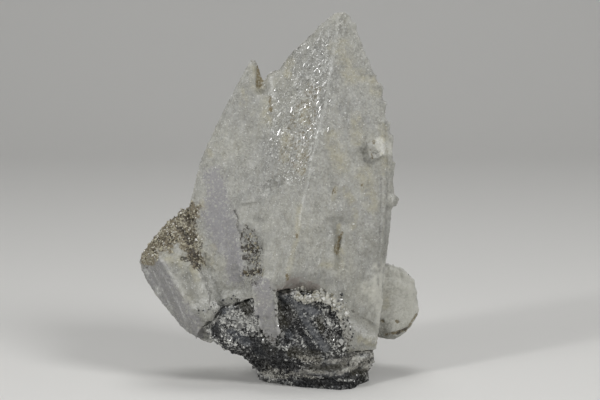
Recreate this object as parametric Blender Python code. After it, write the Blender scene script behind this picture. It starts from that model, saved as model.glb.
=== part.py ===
"""Quartz on calcite: a dog-tooth calcite crystal with a smaller parallel point and two side crystals,
sugared with tiny quartz crystals and standing on the dark, granular rock that it grew on.

Blender 4.5, metres, +Z up. Corners and sizes below are written in millimetres and turned to metres by MM.
The origin is in the flat, broken-off underside. The sharp front edge of the main crystal faces -Y.
"""

import math
import random

import bmesh
import bpy
from mathutils import Matrix, Vector, noise
from mathutils.bvhtree import BVHTree

MM = 0.001

# Driving sizes, in millimetres
CONTACT_GAP = 0.3
SLIVER = 0.005
ROCK_GRAIN = 2.8
ROCK_ROUGHNESS = 1.1
ROCK_LAYER = 1.5
ROCK_SWELL = 7.0
LAYERED_BELOW = 9.0
ROCK_MESH = 1.9
DRUSE_CRUST = 0.8
DRUSE_SPACING = 1.65
DRUSE_BORDER = 1.1
QUARTZ_RADIUS = (0.45, 1.0)
QUARTZ_LENGTH = (0.9, 2.0)
QUARTZ_ROOT = 0.4
QUARTZ_LEAN = 0.45
CRUST_LUMP_RADIUS = (1.3, 2.3)
CRUST_LUMP_SPACING = 2.6
CRUST_LUMP_SINK = 0.9
CRUST_BORDER_X = -34.0
LUMP_CORNERS = 10
STEP_LONGEST = 7.0
CUTTER_REACH = 3.0
OUTSIDE = 200.0
SEED = 27

# Corners of the main crystal, from the tip down
FRONT_EDGE = [
    (7.4, -3.4, 110.2), (10.0, -3.2, 110.4), (5.2, -9.0, 91.0), (0.5, -15.5, 69.6),
    (-3.5, -20.5, 48.2), (-6.8, -23.0, 32.0), (-4.0, -22.0, 9.5),
]
RIGHT_EDGE = [
    (11.6, -3.0, 109.5), (14.2, -4.0, 103.2), (17.0, -5.0, 97.2), (19.7, -6.2, 90.4), (21.9, -7.4, 82.8),
    (23.3, -8.2, 75.8), (24.3, -8.8, 68.6), (24.6, -9.4, 60.0), (24.1, -9.6, 51.6), (23.0, -9.4, 41.8),
    (21.5, -9.0, 25.2), (20.1, -8.6, 13.0), (19.4, -8.0, 7.4),
]
RIGHT_BEVEL = [
    (22.8, -11.0, 58.0), (22.2, -11.6, 50.0), (21.0, -11.6, 41.8), (19.7, -11.3, 25.2), (18.4, -10.6, 13.0),
]
LEFT_EDGE = [
    (6.8, -2.8, 109.8), (2.9, -2.6, 106.1), (-0.5, -2.2, 102.3), (-4.8, -1.8, 98.9), (-6.5, -1.6, 97.0),
    (-9.2, -1.2, 93.2), (-14.6, -2.6, 86.5), (-21.0, -4.2, 76.0), (-27.6, -4.6, 66.0), (-31.6, -5.0, 52.0),
    (-32.8, -6.5, 38.0), (-30.0, -8.0, 25.0), (-24.0, -9.0, 12.0),
]
BACK_EDGES = [
    (9.6, 1.5, 109.2), (5.0, 9.0, 96.0), (1.0, 18.0, 72.0), (-1.0, 23.0, 50.0), (-2.0, 24.5, 31.0),
    (0.0, 20.0, 8.0), (16.0, 4.0, 96.0), (18.5, 11.0, 68.0), (18.0, 15.0, 40.0), (15.0, 13.0, 8.0),
    (-7.0, 6.0, 90.0), (-17.0, 10.0, 68.0), (-23.0, 15.0, 42.0), (-18.0, 13.0, 10.0),
]

# The smaller parallel point on the left
LEFT_POINT = [
    (-17.0, -1.0, 96.9), (-16.2, -0.6, 96.3), (-18.1, -1.6, 96.0), (-20.3, -2.0, 92.2), (-22.2, -2.2, 88.6),
    (-25.3, -2.6, 81.6), (-29.2, -3.0, 74.4), (-31.2, -3.4, 70.8), (-32.5, -3.8, 67.3), (-33.5, -4.2, 63.8),
    (-34.4, -4.6, 60.2), (-35.5, -5.0, 55.9), (-36.4, -5.4, 52.6), (-36.0, -7.0, 36.0), (-30.0, -9.0, 22.0),
    (-16.2, -5.0, 88.1), (-14.0, -1.5, 91.1), (-14.9, -1.0, 93.9), (-20.0, -7.4, 74.0), (-28.4, -5.6, 71.0),
    (-24.0, -10.0, 54.0), (-32.6, -7.4, 54.0), (-26.0, -12.0, 36.0), (-33.0, -9.6, 38.0),
    (-25.0, -12.0, 24.0), (-13.0, 4.0, 86.0), (-24.0, 7.0, 70.0), (-29.0, 10.0, 50.0), (-27.0, 10.0, 24.0),
    (-12.0, -4.0, 70.0), (-10.0, 0.0, 30.0),
]
# The growth that evens out the valley between the smaller point and the main crystal
VALLEY_FILL = [
    (-17.2, -5.2, 86.6), (-10.2, -5.2, 86.0), (-19.3, -6.5, 79.0), (-10.2, -7.5, 79.4), (-20.6, -7.1, 74.0),
    (-14.4, -8.0, 74.2), (-21.6, -7.9, 69.0), (-17.8, -8.3, 69.0), (-22.4, -8.5, 64.0), (-16.0, 0.0, 86.0),
    (-12.0, 0.0, 84.0), (-20.0, -2.0, 68.0),
]
# The short stub between the point and the main crystal
SHELF_STUB = [
    (-9.0, -1.8, 93.6), (-11.3, -2.4, 93.3), (-12.9, -2.4, 92.2), (-13.5, -2.4, 90.8), (-9.0, -3.8, 91.6),
    (-11.6, -4.2, 90.6), (-13.4, -4.2, 88.0), (-8.6, -5.4, 83.0), (-12.6, -5.2, 82.0), (-10.6, -6.2, 77.0),
    (-9.0, 3.0, 86.0), (-13.6, 2.0, 85.0),
]
# The broken crystal at the lower left, with its cleavage face
LEFT_CRYSTAL = [
    (-36.4, -3.5, 52.0), (-39.6, -1.0, 50.2), (-43.2, 0.0, 47.4), (-45.6, -0.5, 44.6), (-47.8, -1.0, 41.4),
    (-50.7, -2.0, 38.2), (-51.3, -3.0, 35.7), (-50.9, -4.0, 33.1), (-49.1, -5.0, 29.6), (-46.3, -6.5, 25.9),
    (-42.7, -8.5, 21.5), (-38.7, -10.5, 17.3), (-36.9, -11.5, 17.0), (-43.8, -13.0, 37.8),
    (-47.6, -9.4, 38.2), (-35.4, -17.0, 22.2), (-32.5, -16.6, 35.6), (-36.0, -10.6, 46.0),
    (-29.0, -17.4, 24.0), (-32.2, -13.0, 12.9), (-28.9, -12.8, 11.6), (-42.0, -9.4, 42.6),
    (-44.0, 10.0, 40.0), (-40.0, 14.0, 30.0), (-30.0, 14.0, 44.0), (-26.0, 16.0, 24.0), (-34.0, 6.0, 15.0),
]
# The stubby crystal behind the right edge
RIGHT_CRYSTAL = [
    (23.2, 2.0, 34.4), (24.9, 2.0, 33.9), (27.0, 2.2, 32.9), (28.8, 2.4, 31.7), (31.0, 3.0, 29.6),
    (32.0, 3.6, 25.9), (33.0, 4.6, 22.1), (33.1, 5.0, 19.5), (32.6, 5.0, 17.8), (30.8, 4.2, 14.6),
    (29.2, 4.0, 13.1), (27.4, 3.8, 11.6), (25.3, 3.6, 10.7), (22.6, 3.0, 11.4), (30.4, 1.4, 26.0),
    (31.2, 1.8, 18.0), (26.0, 0.6, 28.0), (25.0, 0.6, 14.0), (14.0, 2.0, 26.0), (14.0, 4.0, 12.0),
    (29.0, 14.0, 28.0), (31.0, 16.0, 20.0), (27.0, 15.0, 13.0), (20.0, 19.0, 30.0), (19.0, 19.0, 14.0),
]
# A small crystal perched on the right face, and a smaller one on the right edge
PERCHED_BLOCK = [
    (17.0, -13.2, 72.4), (18.8, -14.2, 73.0), (21.2, -13.2, 72.6), (22.5, -12.6, 71.2), (21.7, -13.6, 69.6),
    (19.6, -14.6, 68.3), (18.0, -14.0, 68.4), (17.3, -13.8, 70.0), (17.6, -8.0, 73.4), (22.6, -8.0, 72.6),
    (22.4, -7.0, 68.0), (18.0, -7.0, 67.8),
]
PERCHED_BEAD = [
    (23.0, -9.0, 57.4), (24.7, -9.8, 57.4), (26.2, -9.6, 55.6), (25.5, -9.8, 53.8), (23.6, -9.4, 52.6),
    (24.4, -12.0, 56.0), (24.2, -12.2, 54.6), (23.0, -7.0, 55.2), (25.0, -7.6, 55.2), (20.0, -9.0, 55.2),
]
# Tips of the parallel steps up the right edge, as x and z
EDGE_STEPS = [
    (13.6, 107.4), (15.7, 101.2), (17.7, 96.8), (19.6, 92.4), (21.7, 89.3), (22.6, 84.6),
    (23.7, 78.6), (24.5, 74.8), (25.0, 67.0), (24.9, 59.4),
]

# The dark rock: its foot on the ground, and the lump that the crystals grew over
ROCK_FOOT = [
    (-12.4, -6.4, -3.0), (-5.0, -7.6, -3.0), (0.8, -13.8, -3.0), (8.6, -18.6, -3.0), (12.6, -16.0, -3.0),
    (17.4, -7.0, -3.0), (16.4, 12.0, -3.0), (2.0, 18.4, -3.0), (-11.0, 13.4, -3.0), (-14.4, -7.6, 4.0),
    (-20.0, -10.0, 7.6), (-18.0, 10.0, 7.0), (18.6, -8.2, 6.0), (19.0, -8.6, 13.0), (10.0, -19.6, 10.0),
    (-4.0, -19.2, 9.0), (17.4, 12.0, 13.0), (2.0, 19.4, 13.0),
]
ROCK_LUMP = [
    (-30.4, -13.4, 14.4), (-27.6, -12.0, 11.6), (-24.0, -11.0, 9.4), (-18.4, -11.6, 7.4),
    (-29.6, -14.6, 24.0), (-19.0, -16.6, 27.6), (-12.0, -17.5, 29.0), (-4.0, -18.2, 29.2),
    (6.0, -18.2, 26.8), (10.6, -17.6, 19.6), (12.4, -17.6, 9.0), (-8.0, -18.6, 8.0), (-2.0, -19.2, 16.0),
    (-30.0, -6.0, 26.0), (-20.0, 8.0, 11.0), (14.0, -8.0, 20.0), (12.0, 4.0, 8.0), (-10.0, -6.0, 34.0),
    (4.0, -6.0, 33.0), (-27.6, -6.0, 12.0),
]
DARK_NOTCH = [
    (-20.8, -26.0, 28.6), (-17.0, -26.0, 29.6), (-17.0, -26.0, 22.0), (-20.2, -26.0, 23.4),
    (-20.2, -13.6, 27.4), (-17.6, -13.6, 28.2), (-17.6, -13.6, 23.6), (-19.8, -13.6, 24.2),
]
# The space that the rock fills: the hollow where the front of the crystal broke away, and the broken base
BREAK_HOLLOW = [
    (-46.0, -34.0, 2.0), (-36.4, -34.0, 12.6), (-31.6, -34.0, 23.0), (-20.6, -34.0, 27.6),
    (-9.0, -34.0, 29.4), (-6.2, -34.0, 32.6), (3.0, -34.0, 30.6), (7.4, -34.0, 27.6), (10.0, -34.0, 20.0),
    (12.0, -34.0, 11.0), (11.4, -34.0, -6.0), (-30.0, -11.0, 20.0), (-20.0, -12.5, 25.6),
    (-7.0, -13.0, 29.6), (3.0, -13.0, 28.0), (8.0, -13.0, 22.0), (10.8, -13.0, 9.0), (10.8, -13.0, -6.0),
    (-40.0, -9.0, 2.0), (-36.0, -34.0, -6.0), (-32.0, -9.0, -6.0),
]
BROKEN_BASE = [
    (-40.0, -40.0, 12.4), (40.0, -40.0, 8.6), (40.0, 40.0, 10.0), (-40.0, 40.0, 12.0), (6.0, -4.0, 8.2),
    (-40.0, -40.0, -6.0), (40.0, -40.0, -6.0), (40.0, 40.0, -6.0), (-40.0, 40.0, -6.0),
]
# The sloping break over the rock, from the crystal's front face in to the rock's top
HOLLOW_ROOF = [
    (-8.4, -28.0, 35.4), (-6.6, -28.0, 38.2), (-3.0, -28.0, 39.2), (1.4, -28.0, 39.0), (6.4, -28.0, 38.0),
    (8.6, -28.0, 36.4), (-7.0, -16.0, 26.6), (-3.0, -16.0, 28.7), (1.4, -16.0, 28.6), (6.0, -16.0, 27.6),
    (-8.6, -28.0, 26.4), (8.8, -28.0, 26.4), (-7.0, -16.0, 26.4), (6.4, -16.0, 26.4),
]
# The pale vein that runs down over the rock and thins out
PALE_VEIN = [
    (-17.2, -19.6, 31.0), (-10.2, -20.8, 31.0), (-16.4, -19.3, 24.6), (-9.5, -19.9, 23.0),
    (-14.8, -18.9, 19.0), (-9.2, -19.2, 17.0), (-13.0, -18.6, 15.0), (-10.4, -18.5, 13.4),
    (-16.6, -14.0, 34.0), (-10.4, -14.0, 34.0), (-15.8, -15.0, 22.0), (-9.8, -15.0, 20.0),
    (-12.4, -15.6, 15.6), (-10.4, -15.6, 14.4), (-17.4, -18.8, 34.0), (-10.6, -20.2, 35.0),
]
# Pale lumps along the upper rim of the rock: x, y, z and radius
RIM_LUMPS = [
    (-3.4, -18.8, 27.6, 1.6), (-0.6, -19.2, 27.0, 2.0), (2.4, -19.2, 27.4, 2.1), (5.2, -18.8, 27.2, 2.0),
    (7.4, -18.2, 25.4, 2.1), (4.8, -19.2, 24.2, 1.5), (8.0, -17.8, 28.0, 2.0), (9.4, -17.2, 22.8, 1.8),
    (-31.4, -15.4, 24.2, 2.0), (-28.2, -16.0, 24.8, 1.8), (-24.8, -16.4, 25.4, 1.7),
]

# Breaks in the front faces. Corners as x, z and how deep the floor lies there
FRONT_LEDGES = {
    "left_ledge": [
        (-25.0, 53.6, 0.1), (-19.0, 54.6, 1.1), (-13.8, 55.2, 0.5), (-15.0, 50.0, 0.1), (-23.0, 49.4, 0.1),
    ],
    "bright_step": [
        (-16.0, 60.6, 0.1), (-12.0, 61.6, 0.9), (-8.4, 61.2, 0.4), (-9.4, 57.6, 0.1), (-13.8, 56.8, 0.1),
    ],
    "trough": [
        (-20.6, 46.0, 0.1), (-17.0, 47.4, 0.4), (-13.8, 45.6, 0.1), (-13.4, 36.0, 0.1), (-15.0, 31.2, 0.1),
        (-19.4, 31.6, 0.1), (-21.2, 38.0, 0.1), (-17.6, 42.0, 1.3), (-17.4, 36.0, 1.2),
    ],
    "right_ledge": [
        (4.6, 51.4, 0.1), (8.4, 51.0, 1.2), (12.0, 50.2, 0.4), (11.6, 46.0, 0.1), (7.4, 46.4, 0.3),
    ],
    "right_channel": [
        (6.8, 49.0, 0.2), (8.2, 49.8, 1.0), (10.8, 46.0, 0.1), (9.6, 36.0, 0.1), (7.6, 34.6, 0.2),
        (8.0, 42.0, 1.0),
    ],
    "brown_slot": [(7.4, 45.2, 1.2), (8.6, 46.8, 1.6), (9.2, 44.0, 1.0), (8.2, 40.8, 1.5), (7.0, 42.0, 1.2)],
    "low_fold": [
        (12.6, 23.6, 0.1), (14.6, 21.0, 0.7), (20.2, 17.2, 0.4), (19.4, 14.2, 0.1), (13.0, 17.2, 0.1),
    ],
}
# Breaks in the back faces, given in the same way
BACK_LEDGES = {
    "back_fold": [(3.0, 84.0, 0.1), (4.6, 86.0, 0.7), (5.4, 60.0, 1.0), (5.0, 34.0, 0.8), (-2.0, 34.0, 0.1)],
    "back_step": [
        (-16.0, 44.0, 0.1), (-11.0, 50.0, 0.9), (-4.0, 47.0, 0.7), (-6.0, 20.0, 0.1), (-13.0, 22.0, 0.1),
    ],
}
# Outline of the crust of coarser quartz beside the front edge, as x and z
DRUSE_OUTLINE = [
    (5.8, 102.6), (4.6, 96.0), (3.0, 88.0), (1.2, 80.0), (-0.6, 73.0), (-2.2, 67.0), (-3.8, 62.8),
    (-6.6, 61.8), (-9.2, 63.6), (-12.4, 62.6), (-13.8, 66.4), (-13.2, 71.0), (-12.2, 74.6), (-8.4, 76.8),
    (-7.6, 83.0), (-7.6, 89.6), (-6.2, 93.4), (-2.2, 97.0), (1.2, 100.6), (3.4, 103.0),
]


def clear_scene():
    for obj in list(bpy.data.objects):
        bpy.data.objects.remove(obj, do_unlink=True)


def finish(name, colour, roughness, metallic=0.0):
    """A Principled material of one colour, given as sRGB bytes."""
    material = bpy.data.materials.new(name)
    material.use_nodes = True
    shader = material.node_tree.nodes["Principled BSDF"]
    linear = [(channel / 255) ** 2.2 for channel in colour]
    shader.inputs["Base Color"].default_value = (*linear, 1.0)
    shader.inputs["Roughness"].default_value = roughness
    shader.inputs["Metallic"].default_value = metallic
    material.diffuse_color = (*linear, 1.0)
    return material


def object_from(bm, name, material=None):
    mesh = bpy.data.meshes.new(name)
    bm.to_mesh(mesh)
    bm.free()
    obj = bpy.data.objects.new(name, mesh)
    bpy.context.scene.collection.objects.link(obj)
    if material:
        mesh.materials.append(material)
    return obj


def add_hull(bm, corners):
    """Adds the convex solid round these corners, in metres, and drops those that lie inside it."""
    verts = [bm.verts.new(corner) for corner in corners]
    made = bmesh.ops.convex_hull(bm, input=verts)
    inside = {v for v in made["geom_interior"] + made["geom_unused"] if isinstance(v, bmesh.types.BMVert)}
    bmesh.ops.delete(bm, geom=list(inside), context="VERTS")


def hull(name, corners, material=None):
    """A closed crystal with flat faces, through corners in millimetres."""
    bm = bmesh.new()
    add_hull(bm, [Vector(corner) * MM for corner in corners])
    bmesh.ops.dissolve_limit(bm, angle_limit=math.radians(1.0), verts=bm.verts, edges=bm.edges)
    bmesh.ops.recalc_face_normals(bm, faces=bm.faces)
    return object_from(bm, name, material)


def helper(obj):
    """A cutter or a shape that is joined into another: not a piece of its own."""
    obj.hide_render = True
    obj.display_type = "WIRE"
    return obj


def boolean(body, other, operation, overlapping=False):
    """Adds a Boolean with other, whose own parts may overlap one another if overlapping is set."""
    modifier = body.modifiers.new(other.name, "BOOLEAN")
    modifier.operation = operation
    modifier.use_self = overlapping
    modifier.object = helper(other)
    return body


def join(body, *others, overlapping=False):
    for other in others:
        boolean(body, other, "UNION", overlapping)
    return body


def cut(body, *cutters, overlapping=False):
    for cutter in cutters:
        boolean(body, cutter, "DIFFERENCE", overlapping)
    return body


def common(body, other):
    return boolean(body, other, "INTERSECT")


def evaluated_mesh(obj):
    bpy.context.view_layer.update()
    graph = bpy.context.evaluated_depsgraph_get()
    return bpy.data.meshes.new_from_object(obj.evaluated_get(graph), depsgraph=graph)


def bake(obj):
    """Applies the modifiers of obj and closes the slivers that they leave."""
    mesh = evaluated_mesh(obj)
    obj.modifiers.clear()
    bm = bmesh.new()
    bm.from_mesh(mesh)
    bmesh.ops.remove_doubles(bm, verts=bm.verts, dist=SLIVER * MM)
    bmesh.ops.dissolve_degenerate(bm, dist=SLIVER * MM, edges=bm.edges)
    bm.to_mesh(mesh)
    bm.free()
    obj.data = mesh
    return obj


def copy_of(obj, name):
    twin = obj.copy()
    twin.data = obj.data.copy()
    twin.name = name
    bpy.context.scene.collection.objects.link(twin)
    return twin


def inset_hull(name, source, inset):
    """The convex solid source with every face moved inwards by inset, or outwards if inset is negative."""
    helper(source)
    bm = bmesh.new()
    bmesh.ops.create_cube(bm, size=0.5)
    for face in source.data.polygons:
        cut_faces = bmesh.ops.bisect_plane(
            bm,
            geom=bm.verts[:] + bm.edges[:] + bm.faces[:],
            plane_co=Vector(face.center) - Vector(face.normal) * inset,
            plane_no=face.normal,
            clear_outer=True,
        )
        rim = [edge for edge in cut_faces["geom_cut"] if isinstance(edge, bmesh.types.BMEdge)]
        if rim:
            bmesh.ops.contextual_create(bm, geom=rim)
    bmesh.ops.recalc_face_normals(bm, faces=bm.faces)
    return object_from(bm, name)


def surface_of(obj):
    """A tree for finding points on the faces of obj."""
    bm = bmesh.new()
    bm.from_mesh(obj.data)
    tree = BVHTree.FromBMesh(bm)
    bm.free()
    return tree


def depth_at(surface, x, z, side=-1):
    """The y of the front surface at x and z, all in millimetres, or of the back surface if side is 1."""
    start = Vector((x, OUTSIDE * side, z)) * MM
    return surface.ray_cast(start, Vector((0, -side, 0)))[0].y / MM


def ledge(name, surface, corners, side=-1):
    """A cutter for a break in the faces. Corners are x, z and the depth of its floor under the surface."""
    points = []
    for x, z, depth in corners:
        y = depth_at(surface, x, z, side)
        points.append((x, y - depth * side, z))
        points.append((x, y + CUTTER_REACH * side, z))
    return hull(name, points)


def place_on(edge, z):
    """The x and y of an edge, a list of corners from the top down, at height z."""
    for (upper_x, upper_y, upper_z), (lower_x, lower_y, lower_z) in zip(edge, edge[1:]):
        if lower_z <= z <= upper_z:
            share = (upper_z - z) / (upper_z - lower_z)
            return upper_x + (lower_x - upper_x) * share, upper_y + (lower_y - upper_y) * share
    return edge[0][0], edge[0][1]


def edge_steps(name, edge, tips):
    """Slips of crystal up an edge, each with a sloping top and a side that runs back into the edge."""
    bm = bmesh.new()
    for x, z in tips:
        _, y = place_on(edge, z)
        length = 1.0
        while place_on(edge, z - length)[0] < x - 0.1 and length < STEP_LONGEST:
            length += 0.5
        low_x, low_y = place_on(edge, z - length)
        corners = [
            (x - 1.1, y, z + 0.3), (x, y, z - 0.7), (x, y + 1.2, z - 0.6),
            (x - 2.6, y - 1.1, z + 0.3), (x - 2.0, y + 3.6, z + 0.2), (low_x - 0.3, low_y + 0.4, z - length),
            (low_x - 2.4, low_y - 0.5, z - length - 0.4), (low_x - 1.8, low_y + 2.6, z - length - 0.6),
        ]
        add_hull(bm, [Vector(corner) * MM for corner in corners])
    bmesh.ops.recalc_face_normals(bm, faces=bm.faces)
    return object_from(bm, name)


def scatter(obj, spacing, wanted, rng, tries=6000):
    """Points and normals spread over obj, none nearer than spacing, where wanted(point, normal) holds."""
    obj.data.calc_loop_triangles()
    triangles = obj.data.loop_triangles
    weights = [triangle.area for triangle in triangles]
    verts = obj.data.vertices
    found = []
    for triangle in rng.choices(triangles, weights, k=tries):
        a, b, c = (verts[i].co for i in triangle.vertices)
        u, v = rng.random(), rng.random()
        if u + v > 1:
            u, v = 1 - u, 1 - v
        point = a + (b - a) * u + (c - a) * v
        near = any((point - other).length < spacing for other, _ in found)
        if not near and wanted(point, triangle.normal):
            found.append((point, Vector(triangle.normal)))
    return found


def quartz_crystal(bm, foot, axis, radius, length, root):
    """One six-sided quartz crystal, rooted a little below foot. Long ones have a prism under their point."""
    frame = axis.to_track_quat("Z", "Y").to_matrix()
    levels = [(-root, radius)]
    if length > 1.4 * radius + 0.5 * MM:
        levels.append((length - radius, radius * 0.95))
    rings = []
    for height, width in levels:
        ring = []
        for side in range(6):
            angle = math.radians(60 * side)
            corner = Vector((math.cos(angle) * width, math.sin(angle) * width, height))
            ring.append(bm.verts.new(foot + frame @ corner))
        rings.append(ring)
    tip = bm.verts.new(foot + frame @ Vector((0, 0, length)))
    low, high = rings[0], rings[-1]
    bm.faces.new(list(reversed(low)))
    for side in range(6):
        after = (side + 1) % 6
        if len(rings) > 1:
            bm.faces.new((low[side], low[after], high[after], high[side]))
        bm.faces.new((high[side], high[after], tip))


def quartz_crystals(name, spots, rng):
    """Small quartz crystals standing on these spots, each leaning its own way."""
    bm = bmesh.new()
    for point, normal in spots:
        lean = Vector((rng.uniform(-1, 1), rng.uniform(-1, 1), rng.uniform(-0.4, 1))) * QUARTZ_LEAN
        size = rng.random() ** 2
        radius = (QUARTZ_RADIUS[0] + (QUARTZ_RADIUS[1] - QUARTZ_RADIUS[0]) * size) * MM
        length = (QUARTZ_LENGTH[0] + (QUARTZ_LENGTH[1] - QUARTZ_LENGTH[0]) * size * rng.random()) * MM
        quartz_crystal(bm, point, (normal + lean).normalized(), radius, length, QUARTZ_ROOT * MM)
    return object_from(bm, name)


def lumps(name, centres, rng, margin=0.0):
    """Blocky lumps, each the hull of points round its centre: x, y, z and radius in millimetres."""
    bm = bmesh.new()
    for x, y, z, radius in centres:
        corners = []
        for _ in range(LUMP_CORNERS):
            way = Vector((rng.gauss(0, 1), rng.gauss(0, 1), rng.gauss(0, 1))).normalized()
            corners.append((Vector((x, y, z)) + way * (radius * rng.uniform(0.8, 1.1) + margin)) * MM)
        add_hull(bm, corners)
    bmesh.ops.recalc_face_normals(bm, faces=bm.faces)
    return object_from(bm, name)


def roughen(obj, amount):
    """Moves each corner of obj along its normal by flat-lying layers and by separate grains."""
    bm = bmesh.new()
    bm.from_mesh(obj.data)
    bm.normal_update()
    moves = []
    for vert in bm.verts:
        place = vert.co / MM
        layer = noise.noise(Vector((place.x / 12, place.y / 12, place.z / ROCK_LAYER)))
        swell = noise.noise(place / ROCK_SWELL)
        distances, _ = noise.voronoi(place / ROCK_GRAIN)
        grains = distances[1] - distances[0] - 0.35
        layering = 1.0 if place.z < LAYERED_BELOW else 0.2
        moves.append(vert.normal * (swell + grains + layer * layering) * amount * MM)
    for vert, move in zip(bm.verts, moves):
        vert.co += move
    bmesh.ops.triangulate(bm, faces=bm.faces)
    bm.to_mesh(obj.data)
    bm.free()


def remesh(obj, voxel):
    modifier = obj.modifiers.new("even_mesh", "REMESH")
    modifier.mode = "VOXEL"
    modifier.voxel_size = voxel * MM
    return bake(obj)


def below(z, name):
    """A block that takes away everything under height z."""
    bm = bmesh.new()
    bmesh.ops.create_cube(bm, size=0.2, matrix=Matrix.Translation((0, 0, z * MM - 0.1)))
    return object_from(bm, name)


def rim_lumps(margin=0.0):
    return lumps("rim_lumps", RIM_LUMPS, random.Random(SEED), margin)


def make_rock(material):
    """The rock, rough where it shows and flat where the crystals are rooted on it."""
    rock = hull("matrix", ROCK_FOOT, material)
    join(rock, hull("rock_lump", ROCK_LUMP))
    cut(rock, hull("dark_notch", DARK_NOTCH))
    bake(rock)
    remesh(rock, ROCK_MESH)
    roughen(rock, ROCK_ROUGHNESS)
    room = inset_hull("rock_room", hull("hollow_room", BREAK_HOLLOW), CONTACT_GAP * MM)
    join(room, inset_hull("base_room", hull("base_block", BROKEN_BASE), CONTACT_GAP * MM))
    common(rock, bake(room))
    cut(rock, inset_hull("vein_room", hull("vein_block", PALE_VEIN), -CONTACT_GAP * MM))
    cut(rock, below(0.0, "ground"))
    bake(rock)
    cut(rock, rim_lumps(CONTACT_GAP), overlapping=True)
    return keep_largest(bake(rock))


def keep_largest(obj):
    """Drops crumbs that the cuts left loose."""
    bm = bmesh.new()
    bm.from_mesh(obj.data)
    islands = []
    unseen = set(bm.verts)
    while unseen:
        island = {unseen.pop()}
        edge = list(island)
        while edge:
            near = {other.other_vert(vert) for vert in edge for other in vert.link_edges} - island
            island |= near
            edge = list(near)
        unseen -= island
        islands.append(island)
    islands.sort(key=len)
    crumbs = [vert for island in islands[:-1] for vert in island]
    bmesh.ops.delete(bm, geom=crumbs, context="VERTS")
    bm.to_mesh(obj.data)
    bm.free()
    return obj


def inside_by(outline, x, z):
    """How far the point lies inside an outline in x and z. Negative outside."""
    point = Vector((x, z))
    nearest = math.inf
    inside = False
    for start, end in zip(outline, outline[1:] + outline[:1]):
        start, end = Vector(start), Vector(end)
        side = end - start
        share = min(max((point - start).dot(side) / side.length_squared, 0.0), 1.0)
        nearest = min(nearest, (point - start - side * share).length)
        if (start.y > z) != (end.y > z) and x < start.x + (z - start.y) * side.x / side.y:
            inside = not inside
    return nearest if inside else -nearest


def crust_spots(crystal, rng):
    """Centres for the lumps of the brown crust on the upper side of the left crystal."""
    def wanted(point, normal):
        return normal.z > 0.25 and point.x < CRUST_BORDER_X * MM

    centres = []
    for point, normal in scatter(crystal, CRUST_LUMP_SPACING * MM, wanted, rng):
        centres.append((*(point / MM - normal * CRUST_LUMP_SINK), rng.uniform(*CRUST_LUMP_RADIUS)))
    return centres


def prism(name, surface, outline, margin):
    """A block through the front surface over an outline in x and z, made wider by margin."""
    corners = []
    for index, (x, z) in enumerate(outline):
        before, after = Vector(outline[index - 1]), Vector(outline[(index + 1) % len(outline)])
        along = (after - before).normalized()
        x, z = x - along.y * margin, z + along.x * margin
        y = depth_at(surface, x, z)
        corners.append([(x, y - CUTTER_REACH, z), (x, y + CUTTER_REACH, z)])
    bm = bmesh.new()
    front, back = ([bm.verts.new(Vector(pair[side]) * MM) for pair in corners] for side in (0, 1))
    bm.faces.new(front)
    bm.faces.new(list(reversed(back)))
    for index, vert in enumerate(front):
        after = (index + 1) % len(front)
        bm.faces.new((vert, back[index], back[after], front[after]))
    bmesh.ops.triangulate(bm, faces=bm.faces)
    bmesh.ops.recalc_face_normals(bm, faces=bm.faces)
    return object_from(bm, name)


def on_top(surface, point, normal):
    """Whether a point of the crust lies on its outer side, clear of its border."""
    outside = surface.find_nearest(point)[3] < 0.02 * MM and normal.y < -0.2
    return outside and inside_by(DRUSE_OUTLINE, point.x / MM, point.z / MM) > DRUSE_BORDER


def make_druse(material, crystal, surface, rng):
    """The crust of coarser quartz: a thin skin of the left front face with crystals standing on it."""
    crust = prism("quartz_druse", surface, DRUSE_OUTLINE, 0.0)
    common(crust, copy_of(crystal, "druse_top"))
    cut(crust, inset_hull("druse_bottom", crystal, DRUSE_CRUST * MM))
    bake(crust)
    crust.data.materials.clear()
    crust.data.materials.append(material)
    spots = scatter(crust, DRUSE_SPACING * MM, lambda point, normal: on_top(surface, point, normal), rng)
    join(crust, quartz_crystals("druse_crystals", spots, rng), overlapping=True)
    return bake(crust)


def make_calcite(material, rng):
    """All the calcite crystals as one grown body. Returns it, its main crystal and the surface of that."""
    crystal = hull("main_crystal", FRONT_EDGE + RIGHT_EDGE + RIGHT_BEVEL + LEFT_EDGE + BACK_EDGES, material)
    surface = surface_of(crystal)
    body = copy_of(crystal, "calcite")
    left = hull("left_crystal", LEFT_CRYSTAL)
    crust = lumps("crust_lumps", crust_spots(left, rng), rng)
    join(body, hull("left_point", LEFT_POINT), left, hull("right_crystal", RIGHT_CRYSTAL))
    join(body, hull("valley_fill", VALLEY_FILL), hull("shelf_stub", SHELF_STUB))
    bake(body)
    join(body, edge_steps("edge_steps", RIGHT_EDGE, EDGE_STEPS), crust, overlapping=True)
    bake(body)
    cut(body, hull("break_hollow", BREAK_HOLLOW), hull("broken_base", BROKEN_BASE))
    cut(body, hull("hollow_roof", HOLLOW_ROOF))
    join(body, hull("pale_vein", PALE_VEIN))
    join(body, hull("perched_block", PERCHED_BLOCK), hull("perched_bead", PERCHED_BEAD))
    bake(body)
    join(body, rim_lumps(), overlapping=True)
    bake(body)
    whole = surface_of(body)
    for name, corners in FRONT_LEDGES.items():
        cut(body, ledge(name, whole, corners))
    for name, corners in BACK_LEDGES.items():
        cut(body, ledge(name, whole, corners, 1))
    bake(body)
    pocket = prism("druse_pocket", surface, DRUSE_OUTLINE, CONTACT_GAP)
    cut(pocket, inset_hull("pocket_floor", crystal, (DRUSE_CRUST + CONTACT_GAP) * MM))
    cut(body, bake(pocket))
    return keep_largest(bake(body)), crystal, surface


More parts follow.
